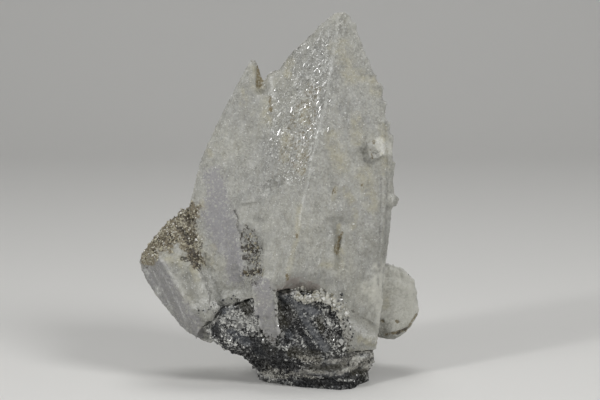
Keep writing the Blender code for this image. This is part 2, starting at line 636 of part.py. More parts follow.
def main():
    clear_scene()
    rng = random.Random(SEED)
    calcite_finish = finish("calcite", (196, 194, 182), 0.55)
    quartz_finish = finish("quartz", (206, 204, 196), 0.25)
    rock_finish = finish("matrix", (74, 76, 78), 0.45)
    make_rock(rock_finish)
    body, crystal, surface = make_calcite(calcite_finish, rng)
    make_druse(quartz_finish, crystal, surface, rng)
    helper(crystal)


main()
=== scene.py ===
"""Dresses the quartz on calcite specimen: sugary calcite, quartz druse, brown crust and granular rock."""

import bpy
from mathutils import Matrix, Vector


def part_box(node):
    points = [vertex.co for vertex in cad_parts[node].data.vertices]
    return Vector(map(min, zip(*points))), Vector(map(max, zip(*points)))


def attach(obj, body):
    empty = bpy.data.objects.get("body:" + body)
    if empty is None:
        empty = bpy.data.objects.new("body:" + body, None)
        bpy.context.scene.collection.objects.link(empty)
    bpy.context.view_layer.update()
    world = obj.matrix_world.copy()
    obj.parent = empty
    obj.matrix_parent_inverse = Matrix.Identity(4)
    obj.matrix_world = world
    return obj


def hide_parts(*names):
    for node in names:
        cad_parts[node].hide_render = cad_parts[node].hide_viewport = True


bl_info = {
    "name": "Quartz on calcite",
    "version": (1, 0, 0),
    "blender": (4, 5, 0),
    "location": "3D View > Sidebar > Specimen",
    "description": "Grows the surface of a quartz on calcite specimen over its solids",
    "category": "Object",
}

import math

import bmesh
import bpy
import numpy as np
from bpy.props import FloatProperty, FloatVectorProperty, IntProperty, PointerProperty
from mathutils import Vector

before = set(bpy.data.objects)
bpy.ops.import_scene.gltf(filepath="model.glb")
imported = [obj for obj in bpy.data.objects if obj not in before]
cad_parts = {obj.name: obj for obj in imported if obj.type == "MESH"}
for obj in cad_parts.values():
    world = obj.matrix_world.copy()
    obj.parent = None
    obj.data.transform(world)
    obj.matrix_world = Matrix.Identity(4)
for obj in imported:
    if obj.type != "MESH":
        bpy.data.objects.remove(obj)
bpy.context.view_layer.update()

MM = 0.001
# The most triangles that one piece may hold, and the most granules in a crust
MOST_TRIANGLES = 196_000
MOST_GRANULES = 9000
# How far the grown skins start inside the solids, in millimetres, so that they stay within their box
CALCITE_SINK, ROCK_SINK = 0.25, 0.15
CALCITE_IOR, QUARTZ_IOR, ROCK_IOR = 1.6, 1.544, 1.55
# The middle of the specimen, in millimetres, at which the camera and the lights point
TARGET = (-3.0, 0.0, 54.0)
# The place and width of each light, in metres, and the colour of the faint light from all around
LIGHTS = {
    "left": ((-0.55, -0.5, 0.42), 0.3), "right": ((0.46, -0.5, 0.58), 0.3),
    "top": ((0.0, 0.12, 0.75), 0.4), "spark": ((-0.5, -0.5, 0.36), 0.09),
}
ROOM_COLOUR = (0.97, 0.985, 1.0, 1.0)

# Patches on the front faces, in millimetres. Each is a radius, then the x and z of each point of a line.
# The calcite's border on the rock, and the sides of the vein, where grains of both are mixed
BORDER = [
    (1.4, -31.4, 22.6, -26, 24.8, -20.6, 27.2), (0.7, -17, 30, -16.2, 24.6, -14.6, 18.8),
    (1.5, -13.6, 16, -9.4, 13.8), (0.6, -9.2, 17, -9.6, 23, -9.9, 29), (1.5, 8.2, 26, 10.2, 20, 11.8, 11.4),
    (1, -9, 28.2, -4, 28.4),
]
CALCITE_PATCHES = {
    "border": BORDER,
    # Iron stain, deep brown, in clefts and pits
    "rust": [
        (0.3, 9.4, 46.6, 8.3, 43.4), (0.65, 8.1, 42.6, 7.7, 40.6), (0.22, 17.6, 70.8, 18.3, 67.8),
        (1, -14.9, 93.8, -15.1, 89.2), (0.4, -11.8, 85.2, -11.6, 81.7), (0.35, -3.9, 46.5, -3.9, 45.9),
        (0.5, -6.8, 34.8, -6.8, 33.9), (0.4, 7.3, 59.4, 6.7, 58.3), (0.35, 15.3, 60.5, 15.2, 60.2),
        (0.35, 18.7, 73, 18.6, 72.8), (0.5, 21.8, 16.9, 22.1, 16.6), (0.5, 26.3, 16.9, 26.6, 16.6),
        (0.4, 0, 87.3, 0, 87), (0.5, 23, 12.6, 29.6, 13.6), (0.4, 29.8, 14.6, 32.4, 18.2),
    ],
    # Iron stain, pale tan to yellow
    "stain": [
        (2.6, 9, 100, 12, 92), (2.2, 6, 74, 9, 66), (2, 16, 64, 18, 54), (0.7, 8.4, 48.6, 7.8, 41),
        (1.5, -0.9, 84, -1.5, 79), (1.6, -7.4, 73.5, -7.4, 69), (1.4, -2.4, 70, -3, 65),
        (1.2, -5.9, 96, -6.5, 92), (1.2, -19.3, 88, -19.8, 84), (1.6, -12.6, 84, -13, 79),
        (2, -15.8, 93.3, -15.4, 88.7), (1.2, 7.6, 37.2, 3.4, 37.6), (1.4, 8.4, 41.5, 8.6, 36.2),
        (0.7, 7.6, 59.7, 6.7, 56.8), (0.7, -3, 55.1, -3.9, 46.2, -6.5, 35.1), (2, 11.7, 93.1, 15.3, 91.9),
        (1.5, 18.8, 90.7, 19.5, 87.2), (1.8, 13.5, 79.2, 14, 73.4), (1, 23, 24.5, 23, 21.5),
        (0.9, -30, 69.1, -29.7, 68.3), (1, -28.9, 41.3, -28.8, 40.3), (1.5, -32.5, 37.3, -29.7, 36.9),
        (0.8, -32.1, 54.2, -31.8, 52.7), (2.6, -35.8, 46, -33.6, 39), (1.5, 17.9, 8.5, 11.8, 10.1),
        (1.2, 10.2, 59, 12.3, 56), (0.6, -35.1, 53.9, -34.8, 52.8), (1.4, -42.5, 38.8, -38, 37.6),
        (1, -34.5, 36, -33.2, 33), (1.2, 21.4, 77, 22, 64), (0.9, 13.4, 53, 12.4, 48),
        (1.4, 15, 14, 19.5, 12.5),
    ],
    # Brown speckles between the quartz crystals beside the front edge
    "speckle": [(2.6, 0.6, 88, -3.4, 66), (1.8, -3, 84, -8, 68)],
    # The brown granular crust on the left crystal, and its tongue down the contact
    "crust": [
        (2.8, -49, 38.2, -44.9, 43), (3.6, -44.9, 43.4, -38.7, 47.8), (2.6, -38.7, 48.2, -35.6, 51.2),
        (2.4, -37.4, 48.4, -36.2, 42.7), (1.6, -36.2, 42.7, -33.2, 37.6),
    ],
    # Bare calcite: the window on the point, the cleavage face and the vein
    "bare": [
        (2.8, -28.8, 61.6, -27.4, 53.5), (3.9, -28.5, 51.7, -24.9, 44.7), (2.4, -22.6, 42, -22, 33),
        (2.6, -45, 35, -42.1, 28.4, -38.5, 23, -37.3, 19.5), (1.8, -47.4, 32.9, -43, 25.4),
        (2.6, -14, 31, -13, 20.5, -10.6, 14.8), (1.9, -34.8, 20.5, -33.6, 15.9),
        (1.2, -49.4, 35.4, -46.5, 28.5),
    ],
    # The roof of the hollow over the rock
    "roof": [(3.4, -7.6, 30.6, -3, 31.4, 1.4, 30.8, 6, 29.2)],
    # Rounded ground: the contact of the left crystal and the rim of the hollow
    "healed": [
        (3.6, -33.5, 37.5, -30.5, 30.5, -28.5, 23.5), (2, -9, 31.6, -3, 33.4, 4, 32.2, 9, 29.4),
        (1.8, 5, 51.2, 12, 50.4),
    ],
    # Loose dark and pale crumbs
    "crumbs": [(2.3, -17.8, 45, -17.2, 38.6), (1.3, -19, 34.2, -15, 35.2)],
    # Dark pits, close together
    "soot": [
        (1.5, -19.4, 41.2, -15.4, 41.4), (1.1, -19.4, 38.9, -18.6, 38.6), (0.9, -19.2, 33.9, -14.8, 35.3),
        (0.6, -20.6, 44, -20.2, 45.6), (1, -36.7, 50, -35.5, 48.8), (1.4, -36.7, 44.6, -35.5, 43.1),
        (0.9, -39.1, 46.4, -37.6, 45.8), (1.3, -36.1, 41.1, -33.8, 38.7), (0.8, -34.3, 38.1, -32.7, 35.8),
        (0.7, -37.9, 38.4, -34.9, 38.1), (0.5, 26.4, 12.6, 29.6, 14.2),
    ],
    # Dark pits, scattered
    "grit": [
        (3.4, -17.6, 45.6, -17, 34), (3, -46.5, 41, -41, 46, -36.2, 50, -33.5, 38),
        (1.4, -11.4, 30.4, -9.6, 29.6), (2, 8.6, 20, 11, 13), (1.4, -14.6, 16.4, -10.2, 14.4),
    ],
    # Thin cracks and contact lines
    "crack": [
        (0.28, -32.7, 35.8, -31.6, 33.2, -30.4, 30.2, -29.5, 27.8, -29.7, 25.6),
        (0.26, -22.4, 52.2, -21.4, 50, -21.6, 47.4, -20.7, 45.2), (0.2, 18.4, 70, 19.6, 69.6, 20.2, 70.2),
        (0.3, 12.6, 22.8, 12.9, 22.6),
    ],
    # The pale line of sugar on the sharp front edge and on the edges of the left crystal
    "ridge": [
        (0.45, 8.2, 109.3, 7.6, 102.4, 6.1, 93.8, 4.7, 85.1, 2.9, 78, 0.5, 68, -0.4, 62.9),
        (0.3, -0.4, 62.9, -2.1, 56.6, -3.3, 49.4), (0.45, -45.4, 40.3, -43.2, 36.7, -40.8, 33.1),
        (0.35, -40.8, 33.1, -38.4, 30, -36.9, 26.5), (0.3, -39.6, 26.7, -38.5, 23.8, -36.8, 19.5),
        (0.24, -46.8, 34, -43.6, 27.6, -41, 22.6), (0.22, -44.6, 35, -41.4, 29.6, -39.2, 24.6),
        (0.2, -47.6, 31.6, -45, 27.4), (0.2, -36, 33.6, -33.6, 28.6),
    ],
    # Chalk-white, sugary places. Some are painted light: over the shaded contact of the left crystal, on the
    # perched block, and painted glints on the broken step
    "frost": [
        (0.6, -11.9, 91, -10.7, 85.2), (1, -45.6, 28.7, -45.3, 27.2), (0.8, -49, 33.2, -48.7, 32.9),
        (2, -30.8, 33, -28, 26), (1.4, -33.6, 24.9, -30.1, 26.7), (1, -21.9, 28.1, -20.7, 26.9),
        (1.4, -3.9, 28.6, 1.7, 27.6), (1.5, 4.7, 25.6, 7.7, 22.9), (1, 2.3, 29.2, 4, 29.2),
        (1.6, 21, 72.6, 22, 70.2), (1, 12, 19.5, 16, 16, 20, 13), (0.6, -13.6, 57.2, -12.4, 58.6),
        (0.5, -14.6, 60.8, -9.4, 62),
    ],
    # Broken, uneven ground
    "rough": [
        (3.2, -17.6, 45, -17, 33), (3.6, -40.7, 37.5, -33.6, 29.6), (2.6, -36.6, 28.9, -31.5, 26.6),
        (2.4, -31.3, 23.1, -31, 17), (1.6, -14.2, 57, -10.1, 61.1), (2.2, 4, 27.4, 8, 22),
        (2.4, -14.2, 19, -11.3, 14.7), (1.2, -33.6, 38, -31.6, 31), (2.6, 23, 33.6, 31, 30),
        (1.6, 32, 28, 33.5, 22), (0.8, -9.2, 17, -9.6, 23, -9.9, 29),
        (0.8, -17, 30, -16.2, 24.6, -14.6, 18.8), (2, 12.5, 17.5, 19.5, 13),
    ],
    # Cream calcite, a little warmer than the rest
    "cream": [
        (3, -18.9, 50.3, -14.2, 50.1), (3.4, -40.7, 37.5, -33.6, 29.6), (2.6, -36.6, 28.9, -31.5, 26.6),
        (2.4, -31.3, 23.1, -31, 17), (1.6, -3.9, 28.6, 1.7, 27.6), (1.6, 4.7, 25.6, 7.7, 22.9),
        (4.5, 23, 29, 28, 20),
    ],
    # Milky calcite without much sugar, its pale milk colour partly painted light that brightens the right
    # crystal and the perched block
    "milky": [(7, 24, 29, 28, 20), (2, 20.6, 72.4, 22.4, 70.4)],
    # Grey smudges, and painted shade in hollows, under ledges, in the trough, down the vein and on the left
    # crystal's outer facets
    "smudge": [
        (0.9, -16.2, 50.5, -13.9, 49.9), (0.8, -14, 60.2, -10.4, 61.2), (2.4, -9, 31.2, -3, 33),
        (2.2, -3, 33, 4, 32.2, 8.4, 29.4), (2.4, -12.6, 20.4, -10.6, 15), (1.1, 5.4, 50.6, 9.6, 49.6),
        (0.8, 8.1, 49.6, 8.4, 36.2), (1.6, -49.9, 35.4, -49, 31.9, -46.5, 28.5),
        (1.5, -47.4, 36.8, -43.8, 34.4), (2.4, -17.7, 45.2, -17.2, 34.2), (1.5, -35.4, 20, -34.4, 15.6),
        (0.3, 22.3, 78, 22.9, 60, 21.5, 26), (0.25, 21, 62, 20.2, 30), (1.4, -22, 35, -20.4, 30.6),
        (1.8, -39.5, 36.5, -36.5, 33.5), (1.4, -36, 31, -34, 27), (1.6, -33.5, 23.5, -32, 19.5),
        (3, -46, 32, -40, 24, -37.5, 20),
    ],
    # Clusters of bright little crystals: more quartz grows there, and a painted highlight whitens the ground
    # where they glint
    "bright": [
        (1, 2.4, 97.2, 1.2, 94.6), (1.3, 5.8, 94.4, 5.2, 91.6), (1.7, 3.6, 90.4, 0.6, 78),
        (1.5, -1.6, 78, -3.8, 73.4), (1.2, -3.4, 71.8, -2.2, 67.6), (1.1, 1, 69.4, 0.4, 63.2),
        (1.3, -12.6, 59.6, -10.6, 61.4), (0.9, -14.4, 58.4, -12.6, 57.6), (1, -8.6, 62.2, -7, 61.8),
        (1.2, -22.8, 37.6, -21.6, 35.4), (0.9, 8.4, 33.4, 9.6, 32.2), (0.8, 6.4, 47.2, 5.4, 45.2),
        (0.7, 14, 45.6, 15.4, 44.8), (0.8, 9, 55.2, 9.8, 53.6), (0.7, -1.6, 51.4, -0.4, 50.4),
        (1.1, -1, 49, 2.4, 44), (0.9, 3.4, 40.6, 1, 36), (0.8, -26, 68, -24.6, 64),
        (1.2, 9.6, 31.6, 12.6, 28.4), (1, 13.4, 40, 15.6, 36.4), (0.9, 6.6, 55, 7.6, 52),
    ],
    # The band of densest quartz beside the front edge
    "sparkle": [
        (4.6, 5.4, 101, -3.6, 64), (5.2, -1, 93, -8.6, 73), (2.4, 8.8, 107, 8, 101),
        (1.6, -14.2, 57.4, -10.1, 61.1),
    ],
}

ROCK_PATCHES = {
    "border": BORDER,
    # Smooth blue-grey seams
    "slate": [
        (1.2, -5, 26.6, -0.6, 19.6, 4.6, 12.4), (1.6, -3, 25.6, 1.6, 23.2), (1.2, -7.4, 27.4, -3.6, 25.5),
        (1.6, -25.5, 24, -22.5, 25.6), (1.2, -23.6, 16.4, -18.6, 13.4), (0.9, -7.7, 17.9, -5.9, 16.3),
    ],
    # Black ground
    "black": [
        (0.9, -8.8, 27.2, -4.6, 20.8, -1.2, 15, 2.8, 8.6), (1.5, -7.4, 21.4, -6, 18),
        (2.6, -15.2, 11.6, -6.8, 7.2), (1.6, -1.5, 2.3, 10.2, 2.6), (0.9, -9, 13.7, -6.5, 14.9),
        (0.9, -19.3, 14.4, -14.2, 14.8), (0.9, -28.8, 17.7, -27.9, 15.3),
        (0.45, 2.6, 8.6, 7.6, 10, 13.3, 9.5, 19.8, 9.2), (0.5, -29.6, 24.6, -20.8, 27),
    ],
    # Olive-brown ground
    "olive": [
        (1.9, -10.7, 25.6, -8.4, 19.1), (1.6, -20.7, 26, -18.2, 23), (1.1, 2.3, 21.6, 3.5, 17.9),
        (1.2, 0.5, 6.6, 10.2, 7), (1.4, 13, 4.6, 17.6, 3.4), (1.8, -5, 11.4, 2, 10),
    ],
    # Paler layers of the foot
    "pale": [
        (1.5, 6, 8, 17, 9.2), (0.8, -6, 5.4, 6.5, 4.8), (0.8, 8, 5.4, 18, 6.4), (1.4, -2, 9.6, 3, 8.6),
        (1, -14, 3, -8, 2.6), (0.9, 16.6, 4, 18.4, 9), (1.2, -12, 4.6, -7.5, 3.6), (0.6, -7.5, 4.2, 3, 3.6),
        (2, 12.5, 7.8, 19.6, 7.4), (1.2, -8.6, 29.4, -2.6, 29.4),
    ],
    # White and cream patches
    "white": [
        (1.9, -31.6, 19.9, -31, 16.4), (1.5, -23.6, 22.8, -22, 21), (2.2, -21, 20.6, -15, 19),
        (1.6, -19.5, 20.6, -16.2, 20.2), (1.4, -14.4, 1.9, -10.2, 1.9), (1.3, 13.6, 8.2, 20.4, 8.4),
        (0.8, 10, 6.2, 20, 5.6), (0.7, 8.6, 3.2, 12.4, 2.6), (0.7, 16.6, 2, 19.6, 9),
        (0.4, -3, 3.5, 3.5, 3.9), (0.5, 12, 5.6, 18.2, 4.8), (0.9, 5.7, 19.8, 5.9, 19.4),
        (0.6, 7.6, 26, 9.6, 22.6),
    ],
    # Evenly mixed light and dark grains
    "salt": [
        (2.2, -5.3, 12, 1, 9.5), (3, 5.4, 22, 8.4, 12.6), (1.6, -22.6, 17.6, -16, 16.4),
        (1.5, -29, 23, -26.2, 23.8), (2.2, -26.6, 17.6, -24.2, 13),
    ],
    # Places with little grain
    "even": [
        (0.7, -4.6, 26.2, -0.4, 19.4, 4.8, 12.2), (0.9, -3, 25.6, 1.6, 23.2), (0.9, 5.7, 19.8, 5.9, 19.4),
        (1.6, 4, 8, 17, 9), (1.4, 3, 6.2, 18, 5.2), (0.9, -4.8, 5.2, 5.5, 4.6),
        (1.2, -8.6, 29.4, -2.6, 29.4),
    ],
}
# Patches with wide, soft borders, and how wide as a share of the radius
SOFT_BORDERS = {
    "bare": 1.3, "cream": 1.3, "smudge": 1.2, "stain": 1.2, "rough": 1.0, "grit": 1.0, "crust": 0.7,
    "soot": 0.9, "healed": 1.2, "crumbs": 1.0, "frost": 1.3, "bright": 1.2, "milky": 0.6,
}
# Loose pale grains on the lumps under the hollow
PALE_GRAINS = [(2.2, (-3.8, 28.2), (1.8, 27.6)), (2.4, (3.6, 27.8), (8.4, 23.0))]


def linear(code):
    """An sRGB hex colour as linear red, green and blue."""
    channels = [int(code[i:i + 2], 16) / 255 for i in (0, 2, 4)]
    return tuple(c / 12.92 if c <= 0.04045 else ((c + 0.055) / 1.055) ** 2.4 for c in channels)


def tint(name, description, code):
    return FloatVectorProperty(name=name, description=description, subtype="COLOR", size=3, min=0, max=1,
                               default=linear(code))


def length(name, description, millimetres):
    return FloatProperty(name=name, description=description, default=millimetres * MM, min=0.0,
                         unit="LENGTH", subtype="DISTANCE", precision=5)


def amount(name, description, default):
    return IntProperty(name=name, description=description, default=default, min=0)


def power(name, description, watts):
    return FloatProperty(name=name, description=description, default=watts, min=0, unit="POWER")


class CalciteSettings(bpy.types.PropertyGroup):
    cell: length("Skin cell", "Edge of the finest squares in the calcite's surface", 0.36)
    swell: length("Growth relief", "Height of the long swells on the crystal faces", 0.14)
    sugar: length("Sugar relief", "Height of the fine grain on coated faces", 0.09)
    lump: length("Lump relief", "Height of the lumps on broken ground and under the crust", 0.5)
    edge: length("Edge relief", "Height of the sugar built up along the crystal edges", 0.2)
    cream: tint("Cream", "Warm, sugar-coated calcite", "B2B1A7")
    grey: tint("Cool grey", "Sugar-coated calcite in its greyer parts", "A2A29E")
    lavender: tint("Lavender", "Bare calcite", "878589")
    # Milk is partly painted light: it lightens the right crystal and the perched block
    milk_and_painted_light: tint("Milk", "Milky calcite", "D4D3C9")
    # White also paints light over shaded places among the frost patches, and a highlight where crystal
    # clusters glint
    white: tint("White", "Frosted edges and sugary lumps", "DCDCD8")
    tan: tint("Tan", "Pale iron stain", "A7A082")
    rust: tint("Rust", "Deep iron stain", "6E603C")
    crust: tint("Crust", "Ground between the granules of the brown crust", "776E5A")
    # Shade is grey for random tone, and painted shade in the smudge patches
    shade: tint("Shade", "Grey smudges", "6E6E69")
    roof: tint("Roof", "The stained roof of the hollow", "857D77")
    pit: tint("Pit", "Dark pits and cracks", "30281C")


class QuartzSettings(bpy.types.PropertyGroup):
    druse_count: amount("Druse crystals", "Crystals in the coarse crust", 9000)
    druse_width: length("Druse width", "Usual width of a crystal in the coarse crust", 0.38)
    sugar_count: amount("Sugar crystals", "Crystals in each front coat", 30000)
    sugar_width: length("Sugar width", "Usual width of a crystal in the fine coat", 0.42)
    back_count: amount("Back crystals", "Crystals on the sides and back", 26000)
    lean: FloatProperty(name="Lean", description="How far crystals lean off upright",
                        default=0.6, min=0, max=2)
    glass: tint("Quartz", "Colourless quartz", "F0F0ED")


class RockSettings(bpy.types.PropertyGroup):
    cell: length("Rock cell", "Edge of the finest squares in the rock's surface", 0.42)
    relief: length("Rock relief", "Height of the rock's grains and layers", 0.55)
    chip_count: amount("Chips", "Loose mineral chips on the rock", 20000)
    chip_width: length("Chip width", "Usual width of a chip", 0.5)
    slate: tint("Slate", "Blue-grey seams", "666A70")
    buff: tint("Buff", "Weathered layers of the foot", "969080")
    olive: tint("Olive", "Olive-brown ground", "504C3A")


class StageSettings(bpy.types.PropertyGroup):
    distance: length("Camera distance", "Camera to specimen", 700.0)
    view_width: length("View width", "Width of the view at the specimen", 180.0)
    pitch: FloatProperty(name="Camera pitch", description="How far the camera looks down",
                         default=math.radians(8.0), unit="ROTATION", subtype="ANGLE")
    paper: tint("Paper", "Matt paper sweep", "E0DFDC")
    left_power: power("Left light", "Power of the soft light at the left", 1.0)
    right_power: power("Right light", "Power of the soft light at upper right", 3.15)
    top_power: power("Top light", "Power of the light overhead", 1.4)
    spark_power: power("Spark light", "Power of the small light that makes quartz glint", 1.45)
    room_light: FloatProperty(name="Room light", description="Strength of the faint light from all around",
                              default=0.17, min=0)


# Patterns worked out in numbers. Places are rows of x, y and z in millimetres. The last number that each
# noise takes is its seed.

def lattice(cells, seed):
    """A repeatable number from 0 to 1 for each whole-number cell."""
    mixed = cells.astype(np.int64) @ np.array([73856093, 19349663, 83492791]) + seed * 97_531
    mixed ^= mixed >> 13
    mixed = (mixed * 1274126177) & 0x7FFFFFFF
    mixed ^= mixed >> 15
    return ((mixed * 48271) & 0xFFFFF) / 0xFFFFF


def noise(places, size, seed=0):
    """Smooth noise from -1 to 1. Its features are about size across, one number or one for each axis."""
    scaled = places / size
    cell = np.floor(scaled)
    part = scaled - cell
    part = part * part * (3 - 2 * part)
    total = np.zeros(len(places))
    for corner in np.ndindex(2, 2, 2):
        weight = np.prod(np.where(corner, part, 1 - part), axis=1)
        total += weight * lattice(cell + corner, seed)
    return total * 2 - 1


def grains(places, size, seed=0):
    """How far each place is from its nearest and next nearest grain centre, in grain sizes."""
    scaled = places / size
    cell = np.floor(scaled)
    nearest = np.full(len(places), 9.0)
    second = nearest.copy()
    for step in np.ndindex(3, 3, 3):
        spot = cell + np.array(step) - 1
        centre = spot + np.stack([lattice(spot, seed + axis) for axis in range(3)], axis=1)
        away = np.linalg.norm(scaled - centre, axis=1)
        second = np.minimum(second, np.maximum(nearest, away))
        nearest = np.minimum(nearest, away)
    return nearest, second


def soft_step(value, low, high):
    """0 below low, 1 above high, with a soft rise between them."""
    share = np.clip((value - low) / (high - low), 0, 1)
    return share * share * (3 - 2 * share)


def on_front(normals):
    """1 where a face looks to the front, falling to 0 where it looks to the back."""
    return soft_step(-normals[:, 1], -0.25, 0.1)


def ragged_edges(places):
    """How far the borders of patches wander in and out at each place, as a share of a patch's radius."""
    return 0.3 * noise(places, 1.9, 5) + 0.3 * noise(places, 0.8, 6)


def in_patches(places, patches, ragged, edge=0.5):
    """How far each place lies in the patches, from 0 to 1. Each border wanders by ragged and fades over
    edge, both as shares of the patch's radius."""
    flat = places[:, [0, 2]]
    strength = np.zeros(len(places))
    for radius, *line in patches:
        points = np.reshape(line, (-1, 2))
        for start, end in zip(points, points[1:]):
            side = end - start
            share = np.clip((flat - start) @ side / max(side @ side, 0.01), 0, 1)
            away = np.linalg.norm(flat - start - share[:, None] * side, axis=1) / radius
            strength = np.maximum(strength, soft_step(1 + ragged - away, -edge / 2, edge / 2))
    return strength


def calcite_marks(places, normals):
    """The stains, pits and bare places of the calcite as named numbers from 0 to 1 at each place."""
    front = on_front(normals)
    ragged = ragged_edges(places)
    marks = {name: in_patches(places, patches, ragged, SOFT_BORDERS.get(name, 0.5)) * front
             for name, patches in CALCITE_PATCHES.items()}
    # At the back, the brown crust lies on the upper faces of the left crystal
    leftward = 2 * noise(places, 2.6, 25) - places[:, 0]
    left_top = soft_step(normals[:, 2], 0.0, 0.5) * soft_step(leftward, 35, 39)
    marks["crust"] = np.maximum(marks["crust"], left_top * (1 - front))
    streaks = noise(places @ RIDGE_TURN, (0.7, 0.7, 2.6), 24)
    # Painted highlight: the bright clusters and streaks across the quartz band are whitened where crystals
    # glint
    marks["bright"] = np.maximum(marks["bright"], 0.8 * marks["sparkle"]) * soft_step(streaks, -0.2, 0.5)
    marks["roof"] *= soft_step(-normals[:, 2], 0.1, 0.4)
    marks["stain"] = np.maximum(marks["stain"], 0.3 * soft_step(noise(places, 9.0, 21), 0.35, 0.8))
    window = soft_step(noise(places, (11.0, 11.0, 20.0), 22), 0.25, 0.5)
    marks["bare"] = np.maximum(marks["bare"], 0.7 * window * (1 - front))
    marks["frost"] = np.maximum(marks["frost"], 0.4 * soft_step(noise(places, 3.4, 23), 0.3, 0.8))
    return marks


def coat_density(places, normals):
    """How thickly quartz sugar lies, from 0 to 1: thin low down and on the right front face, little on
    bare calcite and none on the crust."""
    marks = calcite_marks(places, normals)
    right_face = soft_step(normals[:, 0], 0.05, 0.3)
    cover = (0.55 - 0.4 * right_face + 0.3 * noise(places, 5.0, 31) + 0.4 * marks["frost"]
             + marks["bright"])
    cover = np.clip(cover, 0.05, 1) * (0.5 + 0.5 * soft_step(places[:, 2], 45, 68))
    for name, share in (("bare", 0.9), ("milky", 0.8), ("crust", 1.0), ("roof", 1.0)):
        cover *= 1 - share * marks[name]
    return cover


# The seams of the rock run from upper left to lower right, across the front
SEAM_ANGLE = math.radians(52)
SEAM_TURN = np.array([
    (math.sin(SEAM_ANGLE), 0.0, math.cos(SEAM_ANGLE)),
    (0.0, 1.0, 0.0),
    (math.cos(SEAM_ANGLE), 0.0, -math.sin(SEAM_ANGLE)),
])
# The growth lines lean a little, as the front edge of the main crystal does
RIDGE_LEAN = math.radians(9)
RIDGE_TURN = np.array([
    (math.cos(RIDGE_LEAN), 0.0, math.sin(RIDGE_LEAN)),
    (0.0, 1.0, 0.0),
    (-math.sin(RIDGE_LEAN), 0.0, math.cos(RIDGE_LEAN)),
])


def seam_noise(places):
    """Noise from -1 to 1, drawn out along the seams."""
    return noise(places @ SEAM_TURN, (2.2, 8.0, 9.0), 51)


def in_foot(places):
    """1 in the layered foot of the rock, below 8 mm, falling to 0 at 9.5 mm."""
    return soft_step(-places[:, 2], -9.5, -8.0)


def rock_marks(places, normals):
    """The seams and patches of the rock as named numbers, with tone from 0, black, to 1, white."""
    front = on_front(normals)
    ragged = ragged_edges(places)
    marks = {name: in_patches(places, patches, ragged, 0.8) * front
             for name, patches in ROCK_PATCHES.items()}
    tone = (0.34 + 0.16 * seam_noise(places) + 0.32 * noise(places, 3.2, 52)
            + 0.18 * noise(places, 1.4, 58))
    # The rock is paler at the left, above the foot, and the foot is darker, with flat layers
    tone += 0.3 * soft_step(-places[:, 0], 12.0, 16.0) * soft_step(places[:, 2], 9.0, 14.0)
    tone += in_foot(places) * (0.28 * noise(places, (10.0, 10.0, 1.0), 53) - 0.12)
    marks["white"] *= soft_step(noise(places, (2.4, 2.4, 1.2), 57), -0.9, 0.1)
    marks["pale"] *= soft_step(noise(places, (4.0, 4.0, 0.9), 59), -0.9, 0.1)
    goals = {"salt": 0.5, "olive": 0.16, "slate": 0.38, "black": 0.0, "pale": 0.56, "white": 0.92}
    for name, goal in goals.items():
        tone += (goal - tone) * marks[name] * 0.9
    tone += (np.where(noise(places, 1.1, 56) > -0.2, 0.8, 0.15) - tone) * marks["border"] * 0.8
    marks["even"] = np.maximum(marks["even"], 0.6 * np.maximum(marks["black"], marks["white"]))
    marks["slate"] = np.maximum(marks["slate"], 0.3 * soft_step(noise(places, 7.0, 54), 0.2, 0.5))
    marks["olive"] = np.maximum(marks["olive"], 0.35 * soft_step(noise(places, 6.0, 55), 0.2, 0.5))
    marks["tone"] = np.clip(tone, 0, 1)
    return marks


# Quartz on the left front face lies this way, and turns its flat sides this way
STREAK_WAY = np.array([0.42, 0.0, 0.86])
FLASH_WAY = np.array([-0.36, -0.9, 0.26])


# Meshes

def mesh_arrays(mesh):
    """The corners and normals of a mesh, in millimetres."""
    places = np.empty(len(mesh.vertices) * 3)
    mesh.vertices.foreach_get("co", places)
    normals = np.empty(len(mesh.vertices) * 3)
    mesh.vertices.foreach_get("normal", normals)
    return places.reshape(-1, 3) / MM, normals.reshape(-1, 3)


def set_marks(mesh, marks):
    for name, values in marks.items():
        layer = mesh.attributes.new(name, "FLOAT", "POINT")
        layer.data.foreach_set("value", values.astype(np.float32))


def new_piece(name, mesh):
    piece = bpy.data.objects.new(name, mesh)
    bpy.context.scene.collection.objects.link(piece)
    return piece


def applied(piece, kind, **settings):
    """Gives the piece a modifier and keeps its result as the piece's own mesh."""
    modifier = piece.modifiers.new(kind.title(), kind)
    for key, value in settings.items():
        setattr(modifier, key, value)
    bpy.context.view_layer.update()
    graph = bpy.context.evaluated_depsgraph_get()
    name = piece.data.name
    piece.data = bpy.data.meshes.new_from_object(piece.evaluated_get(graph))
    piece.data.name = name
    piece.modifiers.clear()


def solid_copy(name, nodes, cell):
    """The solids of these CAD nodes, each grown by its millimetres, as one new piece with an even mesh."""
    bm = bmesh.new()
    for node, growth in nodes.items():
        start = len(bm.verts)
        bm.from_mesh(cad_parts[node].data)
        bm.verts.ensure_lookup_table()
        bmesh.ops.remove_doubles(bm, verts=bm.verts[start:], dist=0.001 * MM)
        bm.normal_update()
        bm.verts.ensure_lookup_table()
        for vert in bm.verts[start:]:
            vert.co += vert.normal * growth * MM
    mesh = bpy.data.meshes.new(name)
    bm.to_mesh(mesh)
    bm.free()
    piece = new_piece(name, mesh)
    applied(piece, "REMESH", mode="VOXEL", voxel_size=cell, use_smooth_shade=True)
    drop_bubbles(piece.data)
    return piece


